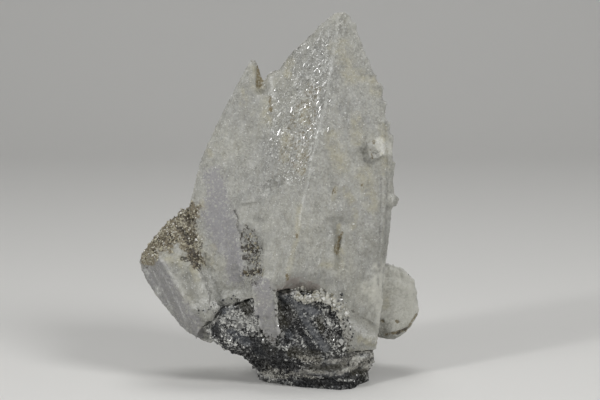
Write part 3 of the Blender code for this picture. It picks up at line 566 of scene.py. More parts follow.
def drop_bubbles(mesh):
    """Keeps the largest connected part of a mesh. Remeshing leaves tiny closed bubbles in narrow gaps."""
    ends = np.empty(len(mesh.edges) * 2, dtype=np.int64)
    mesh.edges.foreach_get("vertices", ends)
    near, far = ends.reshape(-1, 2).T
    label, lowest = None, np.arange(len(mesh.vertices))
    while label is None or not np.array_equal(label, lowest):
        label, lowest = lowest, lowest.copy()
        np.minimum.at(lowest, near, label[far])
        np.minimum.at(lowest, far, label[near])
        lowest = lowest[lowest]
    stray = np.flatnonzero(label != np.bincount(label).argmax())
    if len(stray):
        bm = bmesh.new()
        bm.from_mesh(mesh)
        bm.verts.ensure_lookup_table()
        bmesh.ops.delete(bm, geom=[bm.verts[i] for i in stray], context="VERTS")
        bm.to_mesh(mesh)
        bm.free()


def neighbour_mean(mesh):
    """A function that averages numbers, one for each corner of the mesh, over the corners next to each."""
    ends = np.empty(len(mesh.edges) * 2, dtype=np.int64)
    mesh.edges.foreach_get("vertices", ends)
    near, far = ends.reshape(-1, 2).T
    near, far = np.concatenate([near, far]), np.concatenate([far, near])
    count = np.bincount(near, minlength=len(mesh.vertices))

    def around(values):
        return np.bincount(near, values[far], len(count)) / count
    return around


def smoothed(places, around, rounds):
    for _ in range(rounds):
        places = np.stack([around(places[:, axis]) for axis in range(3)], axis=1)
    return places


def edge_sharpness(places, normals, around, rounds):
    """How sharply each corner of a mesh sticks out, in millimetres: above 0 on edges, below 0 in creases."""
    height = np.sum((places - smoothed(places, around, rounds)) * normals, axis=1)
    return (height + around(height)) / 2


def put_corners(mesh, places):
    """Moves the corners of a mesh to these places, in millimetres, none of them below the base."""
    places[:, 2] = np.maximum(places[:, 2], 0)
    mesh.vertices.foreach_set("co", (places * MM).ravel())
    mesh.update()


def thin_out(piece):
    """Thins a mesh to what one piece may hold. Flat places lose most."""
    triangles = sum(len(face.vertices) - 2 for face in piece.data.polygons)
    if triangles > MOST_TRIANGLES:
        applied(piece, "DECIMATE", ratio=MOST_TRIANGLES / triangles)


# Places that are tried for each small thing that is asked for
TRIES = 6


def feet_on(mesh, count, spacing, wanted, seed):
    """Places and normals for small things on a mesh, in millimetres, about spacing apart.
    The function wanted gives the share to keep, from 0 to 1, for the places and normals it is handed."""
    rng = np.random.default_rng(seed)
    mesh.calc_loop_triangles()
    corners = np.empty(len(mesh.loop_triangles) * 3, dtype=np.int64)
    mesh.loop_triangles.foreach_get("vertices", corners)
    places, normals = mesh_arrays(mesh)
    a, b, c = (places[corners.reshape(-1, 3)[:, i]] for i in range(3))
    smooth = normals[corners.reshape(-1, 3)].mean(axis=1)
    area = np.linalg.norm(np.cross(b - a, c - a), axis=1)
    picked = rng.choice(len(area), size=count * TRIES, p=area / area.sum())
    u, v = rng.random((2, len(picked), 1))
    u, v = np.where(u + v > 1, (1 - u, 1 - v), (u, v))
    spots = a[picked] + (b - a)[picked] * u + (c - a)[picked] * v
    facing = smooth[picked] / np.linalg.norm(smooth[picked], axis=1, keepdims=True)
    keep = rng.random(len(spots)) < wanted(spots, facing)
    spots, facing = spots[keep], facing[keep]
    cells = np.floor(spots / spacing).astype(np.int64)
    first = np.sort(np.unique(cells, axis=0, return_index=True)[1])[:count]
    return spots[first], facing[first], rng


def directions(facing, lean, rng, pull=(0, 0, 0)):
    """Each normal tipped by a random lean and a common pull, as unit vectors."""
    tipped = facing + rng.normal(0, 0.55, facing.shape) * lean + pull
    return tipped / np.linalg.norm(tipped, axis=1, keepdims=True)


def joined_mesh(name, corners, faces):
    """One mesh of many like parts, from the corners of each part and the faces of one."""
    parts, size, _ = corners.shape
    starts = (np.arange(parts) * size)[:, None]
    polygons = []
    for face in faces:
        polygons.extend((starts + np.array(face)).tolist())
    mesh = bpy.data.meshes.new(name)
    mesh.from_pydata((corners.reshape(-1, 3) * MM).tolist(), [], polygons)
    return new_piece(name, mesh)


# As shares of a quartz crystal's width: the depth of its root, the rise of its point, and its width on top
ROOT_DEPTH, POINT_RISE, TAPER = 0.35, 0.55, 0.96


def crystal_corners(feet, axes, widths, heights, rng, toward=None):
    """Corners of six-sided crystals: a ring under the foot, a ring at the shoulder, and the tip.
    One side of each faces the direction in toward, if that is given."""
    aside = np.where(np.abs(axes[:, 2:]) < 0.9, (0.0, 0.0, 1.0), (1.0, 0.0, 0.0))
    across = np.cross(axes, aside)
    across /= np.linalg.norm(across, axis=1, keepdims=True)
    other = np.cross(axes, across)
    turn = rng.random(len(feet)) * 2 * math.pi
    if toward is not None:
        turn = np.arctan2(np.sum(toward * other, axis=1), np.sum(toward * across, axis=1)) - math.pi / 6
    angles = turn[:, None] + np.arange(6) * math.pi / 3
    reach = widths[:, None] / 2 * (1 if toward is not None else rng.uniform(0.8, 1.15, angles.shape))
    ring = ((np.cos(angles) * reach)[..., None] * across[:, None]
            + (np.sin(angles) * reach)[..., None] * other[:, None])
    root = (widths * ROOT_DEPTH)[:, None, None] * axes[:, None]
    shoulder = np.maximum(heights - widths * POINT_RISE, widths * 0.05)[:, None, None] * axes[:, None]
    tip = (feet + axes * heights[:, None])[:, None]
    foot = feet[:, None]
    return np.concatenate([foot - root + ring, foot + shoulder + ring * TAPER, tip], axis=1)


# Faces by the numbers of their corners: of a crystal's prism, of its point, of a blunt point and of a chip
PRISM_SIDES = [(i, (i + 1) % 6, 6 + (i + 1) % 6, 6 + i) for i in range(6)]
POINT_SIDES = [(6 + i, 6 + (i + 1) % 6, 12) for i in range(6)]
BLUNT_CORNERS = [0, 1, 2, 3, 4, 5, 12]
BLUNT_SIDES = [(i, (i + 1) % 6, 6) for i in range(6)]
CHIP_SIDES = [(0, 1, 3), (1, 4, 3), (1, 2, 4), (2, 5, 4), (2, 0, 5), (0, 3, 5), (3, 4, 5), (2, 1, 0)]


def grow_points(name, feet, axes, widths, heights, rng):
    """A piece of joined crystals that show only their points."""
    corners = crystal_corners(feet, axes, widths, heights, rng)
    return joined_mesh(name, corners[:, BLUNT_CORNERS], BLUNT_SIDES)


def chip_corners(feet, axes, widths, rng):
    """Corners of blocky chips: three low corners and three high ones, turned and uneven."""
    count = len(feet)
    across = np.cross(axes, rng.normal(0, 1, (count, 3)))
    across /= np.linalg.norm(across, axis=1, keepdims=True)
    other = np.cross(axes, across)
    corners = []
    for level, turn in ((-0.4, 0.0), (0.4, math.pi / 3)):
        for i in range(3):
            angle = turn + i * 2 * math.pi / 3 + rng.uniform(-0.3, 0.3, count)
            reach = widths * rng.uniform(0.4, 0.65, count)
            rise = widths * (level + rng.uniform(-0.15, 0.15, count))
            flat = across * (np.cos(angle) * reach)[:, None] + other * (np.sin(angle) * reach)[:, None]
            corners.append(feet + flat + axes * rise[:, None])
    return np.stack(corners, axis=1)


# Materials

def add(tree, kind, values=None, links=None, **settings):
    """Adds a node: settings are its properties, values fill its sockets, and links feed them."""
    made = tree.nodes.new(kind)
    for key, value in settings.items():
        setattr(made, key, value)
    for socket, value in (values or {}).items():
        made.inputs[socket].default_value = value
    for socket, source in (links or {}).items():
        tree.links.new(source, made.inputs[socket])
    return made


def new_material(name, shader, *look):
    """A material whose nodes are made by the function shader, which is handed the tree and the look."""
    material = bpy.data.materials.new(name)
    material.use_nodes = True
    tree = material.node_tree
    tree.nodes.clear()
    add(tree, "ShaderNodeOutputMaterial", links={"Surface": shader(tree, *look).outputs["BSDF"]})
    return material


def layered(tree, base, layers):
    """Lays colours over a base in turn. Each layer is a factor or a mark's name, its share and its colour.
    After those of a mark may come its speckle, low and high."""
    for factor, share, colour, *speckle in layers:
        if isinstance(factor, str):
            factor = mark(tree, factor, *speckle)
        part = add(tree, "ShaderNodeMath", {1: share}, {0: factor}, operation="MULTIPLY").outputs[0]
        mixed = add(tree, "ShaderNodeMix", {7: (*colour, 1)}, {0: part, 6: base}, data_type="RGBA")
        base = mixed.outputs[2]
    return base


def mark(tree, name, speckle=None, low=0.0, high=1.0):
    """The named mark of the surface. A speckle from 0 to 1 breaks it up: it rises from low to high."""
    source = add(tree, "ShaderNodeAttribute", attribute_name=name).outputs["Fac"]
    if speckle is None:
        return source
    lifted = add(tree, "ShaderNodeMath", links={0: source, 1: speckle}, operation="MULTIPLY")
    span = {"From Min": low, "From Max": high}
    return add(tree, "ShaderNodeMapRange", span, {"Value": lifted.outputs[0]}).outputs["Result"]


def pattern(tree, size, detail, stretch=1.0):
    """Noise whose features are size millimetres across, stretched along the growth lines, from 0 to 1."""
    coords = add(tree, "ShaderNodeTexCoord").outputs["Object"]
    wide, tall = size * MM, size * stretch * MM
    placed = add(tree, "ShaderNodeMapping", {"Rotation": (0, RIDGE_LEAN, 0), "Scale": (wide, wide, tall)},
                 {"Vector": coords}, vector_type="TEXTURE")
    scale = {"Scale": 1.0, "Detail": detail, "Roughness": 0.6}
    source = add(tree, "ShaderNodeTexNoise", scale, {"Vector": placed.outputs["Vector"]}).outputs["Fac"]
    span = {"From Min": 0.35, "From Max": 0.65}
    return add(tree, "ShaderNodeMapRange", span, {"Value": source}).outputs["Result"]


def grain_tones(tree, size):
    """A random colour for each grain of size millimetres, and its red as a random number from 0 to 1."""
    coords = add(tree, "ShaderNodeTexCoord").outputs["Object"]
    scale = {"Scale": 1 / (size * MM)}
    tones = add(tree, "ShaderNodeTexVoronoi", scale, {"Vector": coords}).outputs["Color"]
    return tones, add(tree, "ShaderNodeSeparateColor", links={0: tones}).outputs[0]


def facets(tree, grain, calm, most, least, height, relief):
    """A surface direction with a bump. It turns its own way on each grain, less so where calm is strong."""
    span = {"To Min": most, "To Max": least}
    tilt = add(tree, "ShaderNodeMapRange", span, {"Value": mark(tree, calm)}).outputs["Result"]
    middle = {1: (0.5, 0.5, 0.5)}
    spread = add(tree, "ShaderNodeVectorMath", middle, {0: grain}, operation="SUBTRACT").outputs[0]
    turned = add(tree, "ShaderNodeVectorMath", links={0: spread, 3: tilt}, operation="SCALE").outputs[0]
    normal = add(tree, "ShaderNodeNewGeometry").outputs["Normal"]
    facing = add(tree, "ShaderNodeVectorMath", links={0: normal, 1: turned}, operation="ADD").outputs[0]
    return add(tree, "ShaderNodeBump", {"Strength": 0.5, "Distance": relief * MM},
               {"Height": height, "Normal": facing}).outputs["Normal"]


def calcite_colour(tree, look):
    """Calcite as it shows: cream to grey, lavender where bare, with iron stains, pits and frosted edges,
    painted shade in hollows and under ledges, and painted light and highlight on shaded and glinting places.
    """
    _, grain = grain_tones(tree, 0.5)
    pits = add(tree, "ShaderNodeMix", {0: 0.6}, {2: grain, 3: pattern(tree, 0.9, 5)}).outputs[0]
    fine = pattern(tree, 0.7, 4)
    middle = pattern(tree, 2.4, 4)
    patchy = pattern(tree, 5.5, 3)
    streaks = pattern(tree, 0.8, 3, stretch=9.0)
    broad = pattern(tree, 16.0, 2)
    ends = {6: (*look.cream, 1), 7: (*look.grey, 1)}
    base = add(tree, "ShaderNodeMix", ends, {0: broad}, data_type="RGBA")
    return layered(tree, base.outputs[2], [
        (patchy, 0.38, look.shade),
        (middle, 0.36, look.white),
        (streaks, 0.16, look.tan),
        (fine, 0.32, look.shade),
        (grain, 0.24, look.shade),
        ("cream", 0.25, look.cream),
        ("bare", 0.75, look.lavender, fine, 0.0, 0.4),
        # Painted light: milk over the right crystal and the perched block
        ("milky", 0.6, look.milk_and_painted_light),
        # Painted shade: grey in hollows, under ledges and on shaded facets, with some real grey smudges
        ("smudge", 0.5, look.shade, middle, 0.0, 0.7),
        ("sparkle", 0.35, look.shade, fine, 0.0, 0.8),
        ("stain", 0.45, look.tan, middle, 0.0, 0.8),
        ("speckle", 0.5, look.rust, grain, 0.5, 0.8),
        ("crust", 1.0, look.crust, fine, 0.0, 0.3),
        ("roof", 0.8, look.roof, middle, 0.0, 0.4),
        # Frost, partly painted light over a shaded contact, the perched block and the broken step
        ("frost", 0.6, look.white, fine, 0.1, 0.8),
        ("ridge", 0.4, look.white, fine, 0.1, 0.8),
        # Painted highlight where crystal clusters glint
        ("bright", 0.65, look.white, grain, 0.4, 0.8),
        ("edge", 0.3, look.white),
        ("rust", 0.85, look.rust, fine, 0.0, 0.5),
        ("grit", 0.75, look.pit, pits, 0.55, 0.65),
        ("soot", 0.85, look.pit, pits, 0.3, 0.42),
        ("crack", 0.45, look.pit, fine, 0.0, 0.6),
    ])


def sugared_calcite(tree, look):
    """Calcite dusted with quartz: matt and sugary, each grain turned its own way, silky where bare."""
    # The real grains are 0.2 to 0.5 mm. The finer ones would be less than a pixel, so all are drawn coarse
    grain, _ = grain_tones(tree, 0.5)
    _, other_grain = grain_tones(tree, 0.4)
    glossy = {"From Min": 0.75, "To Min": 0.6, "To Max": 0.18}
    rough = add(tree, "ShaderNodeMapRange", glossy, {"Value": other_grain}).outputs["Result"]
    skin = facets(tree, grain, "bare", 0.5, 0.1, pattern(tree, 0.4, 4), 0.1)
    return add(
        tree, "ShaderNodeBsdfPrincipled",
        {"IOR": CALCITE_IOR, "Subsurface Weight": 0.1, "Subsurface Radius": (1.0, 0.95, 0.88),
         "Subsurface Scale": 0.6 * MM},
        {"Base Color": calcite_colour(tree, look), "Roughness": rough, "Normal": skin},
    )


def tiny_quartz(tree, look, quartz, matt, own_colour):
    """Colourless quartz in tiny crystals: bright, smooth facets that glow softly, tinged by their ground.
    The dullest are as rough as matt, and own_colour is the most that the quartz's own colour covers."""
    own = mark(tree, "glint")
    colour = layered(tree, calcite_colour(tree, look), [(own, own_colour, quartz.glass)])
    rough = add(tree, "ShaderNodeMapRange", {"From Min": 0.3, "To Min": matt, "To Max": 0.06},
                {"Value": own}).outputs["Result"]
    return add(
        tree, "ShaderNodeBsdfPrincipled",
        {"IOR": QUARTZ_IOR, "Subsurface Weight": 0.25, "Subsurface Radius": (1.0, 0.97, 0.94),
         "Subsurface Scale": 0.5 * MM},
        {"Base Color": colour, "Roughness": rough},
    )


def set_stops(ramp, stops):
    """Sets the stops of a colour ramp, each a place from 0 to 1 and an sRGB hex colour."""
    elements = ramp.color_ramp.elements
    while len(elements) < len(stops):
        elements.new(0.5)
    for element, (place, code) in zip(elements, stops):
        element.position = place
        element.color = (*linear(code), 1)


def calcite_granules(tree, stops):
    """Loose granules of calcite, each of one tone: matt, with a soft gloss on their cleavage faces."""
    ramp = add(tree, "ShaderNodeValToRGB", links={"Fac": mark(tree, "glint")})
    set_stops(ramp, stops)
    return add(tree, "ShaderNodeBsdfPrincipled", {"IOR": CALCITE_IOR, "Roughness": 0.5},
               {"Base Color": ramp.outputs["Color"]})


def rock_colour(tree, look, speck):
    """Black to white by tone and speck, blue-grey in the seams, olive-brown in places, buff at the foot."""
    even = add(tree, "ShaderNodeMath", {1: -0.8, 2: 1.25}, {0: mark(tree, "even")},
               operation="MULTIPLY_ADD").outputs[0]
    spread = add(tree, "ShaderNodeMath", {1: 0.45}, {0: speck}, operation="SUBTRACT").outputs[0]
    level = add(tree, "ShaderNodeMath", links={0: spread, 1: even, 2: mark(tree, "tone")},
                operation="MULTIPLY_ADD").outputs[0]
    ramp = add(tree, "ShaderNodeValToRGB", links={"Fac": level})
    set_stops(ramp, ((0.0, "0C0C0D"), (0.25, "2C2C2D"), (0.5, "646463"), (0.75, "989895"), (1.0, "CFCFCA")))
    return layered(tree, ramp.outputs["Color"], [
        ("slate", 0.4, look.slate),
        ("olive", 0.35, look.olive),
        ("pale", 0.35, look.buff, level, 0.1, 0.7),
    ])


def granular_rock(tree, look):
    """Dark granular rock, broken rough: black, grey and white grains that catch the light here and there."""
    grain, speck = grain_tones(tree, 0.6)
    gloss = {"To Min": 0.6, "To Max": 0.22}
    rough = add(tree, "ShaderNodeMapRange", gloss, {"Value": speck}).outputs["Result"]
    skin = facets(tree, grain, "even", 0.8, 0.2, pattern(tree, 0.5, 5), 0.25)
    return add(tree, "ShaderNodeBsdfPrincipled", {"IOR": ROCK_IOR},
               {"Base Color": rock_colour(tree, look, speck), "Roughness": rough, "Normal": skin})


def mineral_chips(tree, look):
    """Loose mineral chips of the same rock, with bright cleavage facets."""
    own = mark(tree, "glint")
    rough = add(tree, "ShaderNodeMapRange", {"To Min": 0.5, "To Max": 0.1}, {"Value": own}).outputs["Result"]
    return add(tree, "ShaderNodeBsdfPrincipled", {"IOR": ROCK_IOR},
               {"Base Color": rock_colour(tree, look, own), "Roughness": rough})


def matt_paper(tree, look):
    """Matt paper: a faint tooth, no gloss."""
    tooth = pattern(tree, 1.2, 2)
    bump = add(tree, "ShaderNodeBump", {"Strength": 0.05, "Distance": 0.1 * MM}, {"Height": tooth})
    return add(tree, "ShaderNodeBsdfPrincipled",
               {"Base Color": (*look.paper, 1), "Roughness": 0.9}, {"Normal": bump.outputs["Normal"]})


def finish_piece(piece, material, slot, *replaced):
    """Gives a piece its material and its body, and hides the CAD nodes it stands for. The slot is not used.
    """
    piece.data.materials.clear()
    piece.data.materials.append(material)
    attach(piece, "root")
    if replaced:
        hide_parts(*replaced)


def carry_marks(piece, marks, count, rng, rarity=1.0):
    """Stores the marks of the ground under each of count small parts on all its corners, with a random
    glint from 0 to 1. The higher the rarity, the fewer glints are strong."""
    corners_each = len(piece.data.vertices) // count
    marks["glint"] = rng.random(count) ** rarity
    set_marks(piece.data, {name: np.repeat(values, corners_each) for name, values in marks.items()})


# Operators

class SPECIMEN_OT_calcite(bpy.types.Operator):
    """Grow the calcite's surface over its solid"""
    bl_idname = "specimen.calcite"
    bl_label = "Calcite"

    def execute(self, context):
        look = context.scene.calcite
        piece = solid_copy("calcite_crystals", {"calcite": 0.0, "quartz_druse": 0.3}, look.cell)
        around = neighbour_mean(piece.data)
        self.soften(piece.data, around)
        places, normals = mesh_arrays(piece.data)
        marks = calcite_marks(places, normals)
        sharp = edge_sharpness(places, normals, around, 3)
        edge = soft_step(sharp, 0.02, 0.1) * (1 - marks["crust"])
        coated = 1 - 0.85 * marks["bare"]
        turned = places @ RIDGE_TURN
        swells = noise(turned, (2.6, 2.6, 13.0), 1) + 0.6 * noise(turned, (1.2, 1.2, 5.0), 2)
        near_sugar, _ = grains(places, 1.0, 3)
        near_lump, next_lump = grains(places, 2.0, 4)
        lumpy = np.maximum(marks["crust"], 0.7 * marks["rough"])
        shift = (swells * (0.4 + 0.6 * coated) + noise(places, 9.0, 10)) * look.swell / MM
        shift += (0.55 - near_sugar) * 2 * look.sugar / MM * coated
        shift += edge * (1 + 0.8 * noise(places, 1.3, 8)) * look.edge / MM
        shift += lumpy * (next_lump - near_lump - 0.3) * look.lump / MM * 1.6
        shift += marks["rough"] * (noise(places, 1.6, 7) * 0.3 + noise(places, 3.6, 12) * 0.7)
        shift -= 0.5 * np.maximum(np.maximum(marks["soot"], marks["crack"]), 0.5 * marks["rust"])
        shift += (0.4 * marks["border"] + 0.7 * marks["healed"] * (places[:, 0] < -20)
                  - 0.2 * marks["smudge"] - 0.3 * marks["soot"] * noise(places, 0.9, 11))
        set_marks(piece.data, {"edge": edge * (0.6 + 0.4 * noise(places, 1.1, 9))})
        put_corners(piece.data, places + normals * (shift - CALCITE_SINK)[:, None])
        thin_out(piece)
        set_marks(piece.data, calcite_marks(*mesh_arrays(piece.data)))
        finish_piece(piece, new_material("sugared_calcite", sugared_calcite, look), "calcite", "calcite")
        return {"FINISHED"}

    def soften(self, mesh, around):
        """Rounds the skin a little, and evens the contacts and the ground under the coarser quartz."""
        places, normals = mesh_arrays(mesh)
        low, high = (np.array(corner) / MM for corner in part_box("quartz_druse"))
        inside = np.minimum(places - low, high - places)[:, [0, 2]].min(axis=1)
        druse = soft_step(inside, -1.5, 1.0) * on_front(normals) * soft_step(-normals[:, 0], -0.2, 0.1)
        even = np.maximum(druse, in_patches(places, CALCITE_PATCHES["healed"], 0, 1.2) * on_front(normals))
        lightly = smoothed(places, around, 2)
        put_corners(mesh, lightly + (smoothed(lightly, around, 30) - lightly) * even[:, None])


class SPECIMEN_OT_druse(bpy.types.Operator):
    """Grow the crust of coarser quartz beside the front edge"""
    bl_idname = "specimen.druse"
    bl_label = "Quartz druse"

    def execute(self, context):
        quartz = context.scene.quartz
        low, high = (np.array(corner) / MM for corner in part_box("quartz_druse"))
        ground = bpy.data.objects["calcite_crystals"].data

        def wanted(places, facing):
            inside = np.all((places[:, [0, 2]] > low[[0, 2]]) & (places[:, [0, 2]] < high[[0, 2]]), axis=1)
            left_face = soft_step(-facing[:, 0], -0.25, 0.05) * on_front(facing)
            ragged = ragged_edges(places)
            dense = in_patches(places, CALCITE_PATCHES["sparkle"], ragged, 1.8)
            return inside * left_face * (0.08 + 0.92 * dense)

        feet, facing, rng = feet_on(ground, quartz.druse_count, spacing=0.3, wanted=wanted, seed=11)
        widths = quartz.druse_width / MM * rng.lognormal(-0.1, 0.35, len(feet))
        upright = crystal_corners(feet, directions(facing, quartz.lean, rng, (0.1, 0, 0.4)), widths,
                                  widths * rng.uniform(0.15, 0.45, len(feet)), rng)
        # Some lie along the face with a side turned the same way, so many of them flash together
        along = directions(facing * 0.1, 0.3, rng, STREAK_WAY)
        flash = directions(np.broadcast_to(FLASH_WAY, facing.shape), 0.1, rng)
        along -= np.sum(along * flash, axis=1, keepdims=True) * flash
        along /= np.linalg.norm(along, axis=1, keepdims=True)
        lengths = widths * rng.uniform(1.2, 2.4, len(feet))
        lying = crystal_corners(feet, along, widths * 0.7, lengths, rng, flash)
        streaks = soft_step(noise(feet @ RIDGE_TURN, (1.1, 1.1, 3.0), 12), -0.2, 0.6)
        # The lines of the ridge, widened till they fade out about 7 mm from the front edge
        near_edge = in_patches(feet, CALCITE_PATCHES["ridge"], 9.0, 14.0)
        lies = rng.random(len(feet)) < 0.08 + (0.14 + 0.78 * near_edge) * streaks
        corners = np.where(lies[:, None, None], lying, upright)
        piece = joined_mesh("quartz_crust", corners, PRISM_SIDES + POINT_SIDES)
        carry_marks(piece, calcite_marks(feet, facing), len(feet), rng, 2.2)
        material = new_material("drusy_quartz", tiny_quartz, context.scene.calcite, quartz, 0.16, 0.9)
        finish_piece(piece, material, "quartz", "quartz_druse")
        return {"FINISHED"}


class SPECIMEN_OT_sugar(bpy.types.Operator):
    """Dust the calcite with fine quartz sugar"""
    bl_idname = "specimen.sugar"
    bl_label = "Quartz sugar"

    def execute(self, context):
        quartz = context.scene.quartz
        ground = bpy.data.objects["calcite_crystals"].data
        material = new_material("quartz_sugar", tiny_quartz, context.scene.calcite, quartz, 0.45, 0.7)

        # Their number, spacing and scale, whether they are at the front, from and to what height, and a seed
        for name, count, spacing, scale, front, low, high, seed in (
            ("quartz_sugar_upper", quartz.sugar_count, 0.3, 1.0, True, 58, 120, 12),
            ("quartz_sugar_lower", quartz.sugar_count, 0.3, 1.0, True, -1, 58, 16),
            ("quartz_sugar_back", quartz.back_count, 0.5, 1.4, False, -1, 120, 13),
        ):
            def wanted(places, facing):
                height = places[:, 2]
                here = ((facing[:, 1] < 0.05) == front) & (low <= height) & (height < high)
                return coat_density(places, facing) * here

            feet, facing, rng = feet_on(ground, count, spacing, wanted, seed)
            widths = quartz.sugar_width / MM * scale * rng.lognormal(-0.1, 0.3, len(feet))
            heights = widths * rng.uniform(0.15, 0.5, len(feet))
            axes = directions(facing, quartz.lean, rng)
            piece = grow_points(name, feet, axes, widths, heights, rng)
            carry_marks(piece, calcite_marks(feet, facing), len(feet), rng, 2.5)
            finish_piece(piece, material, "quartz")
        return {"FINISHED"}


class SPECIMEN_OT_crust(bpy.types.Operator):
    """Lay the brown granules on the left crystal and the pale ones under the hollow"""
    bl_idname = "specimen.crust"
    bl_label = "Granular crusts"

    def execute(self, context):
        ground = bpy.data.objects["calcite_crystals"].data

        def brown(places, facing):
            marks = calcite_marks(places, facing)
            laid = np.maximum(marks["crust"] * (1 - 0.6 * marks["soot"]), 0.6 * marks["crumbs"])
            return laid * soft_step(noise(places, 1.0, 61), -0.8, 0.0)

        def pale(places, facing):
            return in_patches(places, PALE_GRAINS, ragged_edges(places)) * on_front(facing)

        # Their width and spacing, where they lie, a seed, and their tones from the rarest dark to light
        for name, width, spacing, wanted, seed, stops in (
            ("crust_granules", 0.42, 0.32, brown, 14,
             ((0.0, "2A2318"), (0.16, "544B38"), (0.3, "A49E88"), (0.85, "BCB8A6"), (1.0, "E2E0DA"))),
            ("pale_granules", 0.7, 0.5, pale, 17,
             ((0.0, "6E6A5A"), (0.15, "A5A294"), (0.5, "B8B6AB"), (0.85, "C6C5BE"), (1.0, "DCDCD8"))),
        ):
            feet, facing, rng = feet_on(ground, MOST_GRANULES, spacing, wanted, seed)
            widths = width * rng.lognormal(0, 0.35, len(feet))
            corners = chip_corners(feet, directions(facing, 0.8, rng), widths, rng)
            piece = joined_mesh(name, corners, CHIP_SIDES)
            carry_marks(piece, {}, len(feet), rng)
            finish_piece(piece, new_material(name, calcite_granules, stops), "calcite")
        return {"FINISHED"}


class SPECIMEN_OT_rock(bpy.types.Operator):
    """Roughen the dark rock and lay its mineral chips"""
    bl_idname = "specimen.rock"
    bl_label = "Dark rock"

    def execute(self, context):
        look = context.scene.rock
        piece = solid_copy("matrix_rock", {"matrix": 0.0}, look.cell)
        places, normals = mesh_arrays(piece.data)
        marks = rock_marks(places, normals)
        near, second = grains(places, 2.4, 41)
        fine, _ = grains(places, 1.0, 42)
        shift = ((second - near - 0.4) + (0.5 - fine) * 0.8) * (1 - 0.7 * marks["even"])
        shift += 0.8 * noise(places, (9.0, 9.0, 1.1), 43) * in_foot(places) + seam_noise(places)
        shift += 0.6 * marks["white"] + 0.5 * marks["slate"] - 1.0 * marks["black"] - 0.5 * marks["olive"]
        shift += 2.2 * marks["border"] * soft_step(noise(places, 1.6, 44), -0.8, 0.4)
        resting = soft_step(places[:, 2], 0.0, 1.6)[:, None]
        rise = shift[:, None] * look.relief / MM - ROCK_SINK
        put_corners(piece.data, places + normals * rise * resting)
        set_marks(piece.data, marks)
        finish_piece(piece, new_material("dark_granular_rock", granular_rock, look), "matrix", "matrix")

        def wanted(spots, facing):
            bare = in_patches(spots, ROCK_PATCHES["even"], ragged_edges(spots)) * on_front(facing)
            return (0.55 + 0.5 * noise(spots, 3.0, 47)) * (1 - 0.85 * bare) * (facing[:, 2] > -0.8)

        def strayed(spots, facing):
            return in_patches(spots, BORDER, ragged_edges(spots), 1.6) * on_front(facing)

        crystals = bpy.data.objects["calcite_crystals"].data
        # Their ground, number and share of it, and a seed
        for name, ground, count, share, seed in (
            ("rock_chips", piece.data, look.chip_count, wanted, 15),
            ("stray_chips", crystals, look.chip_count // 8, strayed, 18),
        ):
            feet, facing, rng = feet_on(ground, count, 0.36, share, seed)
            widths = look.chip_width / MM * rng.lognormal(-0.15, 0.4, len(feet))
            corners = chip_corners(feet, directions(facing, 0.9, rng), widths, rng)
            corners[..., 2] = np.maximum(corners[..., 2], 0)
            chips = joined_mesh(name, corners, CHIP_SIDES)
            carry_marks(chips, rock_marks(feet, facing), len(feet), rng, 1.4)
            finish_piece(chips, new_material("mineral_chips", mineral_chips, look), "matrix")
        return {"FINISHED"}


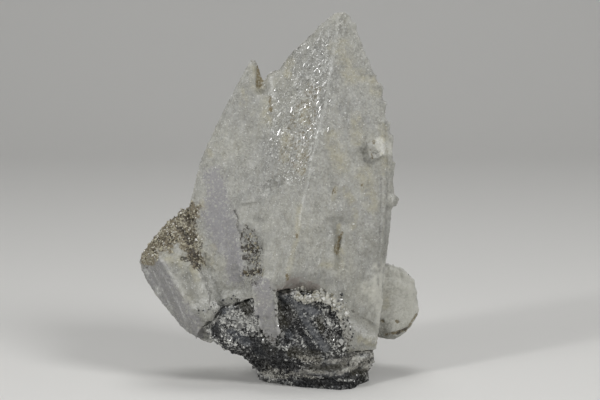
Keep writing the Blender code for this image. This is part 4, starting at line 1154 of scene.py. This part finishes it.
class SPECIMEN_OT_stage(bpy.types.Operator):
    """Set the paper sweep, the soft lights and the camera"""
    bl_idname = "specimen.stage"
    bl_label = "Stage"

    def execute(self, context):
        look = context.scene.stage
        target = Vector(TARGET) * MM
        self.sweep(look)
        for name, (place, size) in LIGHTS.items():
            self.light(name, Vector(place), size, target, getattr(look, name + "_power"))
        world = bpy.data.worlds.new("studio")
        world.use_nodes = True
        background = world.node_tree.nodes["Background"]
        background.inputs["Color"].default_value = ROOM_COLOUR
        background.inputs["Strength"].default_value = look.room_light
        context.scene.world = world
        context.scene.view_settings.view_transform = "Standard"
        self.camera(context.scene, look, target)
        return {"FINISHED"}

    def sweep(self, look):
        """A floor that curves up into a backdrop. Its measures are in metres."""
        half, front, depth, bend, rise, steps = 1.6, -1.2, 0.9, 0.35, 1.2, 12
        profile = [(front, 0.0), (depth - bend, 0.0)]
        for step in range(1, steps + 1):
            angle = math.radians(90 * step / steps)
            profile.append((depth - bend + bend * math.sin(angle), bend * (1 - math.cos(angle))))
        profile.append((depth, rise))
        corners = [(x, y, z) for y, z in profile for x in (-half, half)]
        faces = [(2 * i, 2 * i + 1, 2 * i + 3, 2 * i + 2) for i in range(len(profile) - 1)]
        mesh = bpy.data.meshes.new("paper_sweep")
        mesh.from_pydata(corners, [], faces)
        mesh.shade_smooth()
        mesh.materials.append(new_material("studio_paper", matt_paper, look))
        new_piece("paper_sweep", mesh)

    def light(self, name, place, size, target, watts):
        lamp = bpy.data.lights.new(name, "AREA")
        lamp.shape = "DISK"
        lamp.size = size
        lamp.energy = watts
        holder = bpy.data.objects.new(name, lamp)
        holder.location = place
        holder.rotation_euler = (target - place).to_track_quat("-Z", "Y").to_euler()
        bpy.context.scene.collection.objects.link(holder)

    def camera(self, scene, look, target):
        camera = bpy.data.cameras.new("portrait")
        camera.sensor_width = 36.0
        camera.lens = camera.sensor_width * look.distance / look.view_width
        camera.clip_start = 0.01
        holder = bpy.data.objects.new("portrait", camera)
        away = Vector((0.0, -math.cos(look.pitch), math.sin(look.pitch)))
        holder.location = target + away * look.distance
        holder.rotation_euler = (-away).to_track_quat("-Z", "Y").to_euler()
        scene.collection.objects.link(holder)
        scene.camera = holder


PARTS = (SPECIMEN_OT_calcite, SPECIMEN_OT_druse, SPECIMEN_OT_sugar, SPECIMEN_OT_crust, SPECIMEN_OT_rock,
         SPECIMEN_OT_stage)
SETTINGS = {"calcite": CalciteSettings, "quartz": QuartzSettings, "rock": RockSettings,
            "stage": StageSettings}


class SPECIMEN_PT_panel(bpy.types.Panel):
    """Lists the steps that dress the specimen and the settings they use"""
    bl_idname = "SPECIMEN_PT_panel"
    bl_label = "Quartz on calcite"
    bl_space_type = "VIEW_3D"
    bl_region_type = "UI"
    bl_category = "Specimen"

    def draw(self, context):
        for part in PARTS:
            self.layout.operator(part.bl_idname)
        for group in SETTINGS:
            box = self.layout.box()
            settings = getattr(context.scene, group)
            for name in settings.__annotations__:
                box.prop(settings, name)


CLASSES = (*SETTINGS.values(), *PARTS, SPECIMEN_PT_panel)


def register():
    for item in CLASSES:
        bpy.utils.register_class(item)
    for name, group in SETTINGS.items():
        setattr(bpy.types.Scene, name, PointerProperty(type=group))


def unregister():
    for name in SETTINGS:
        delattr(bpy.types.Scene, name)
    for item in reversed(CLASSES):
        bpy.utils.unregister_class(item)


def main():
    register()
    bpy.ops.specimen.calcite()
    bpy.ops.specimen.druse()
    bpy.ops.specimen.sugar()
    bpy.ops.specimen.crust()
    bpy.ops.specimen.rock()
    bpy.ops.specimen.stage()


if __name__ == "__main__":
    main()
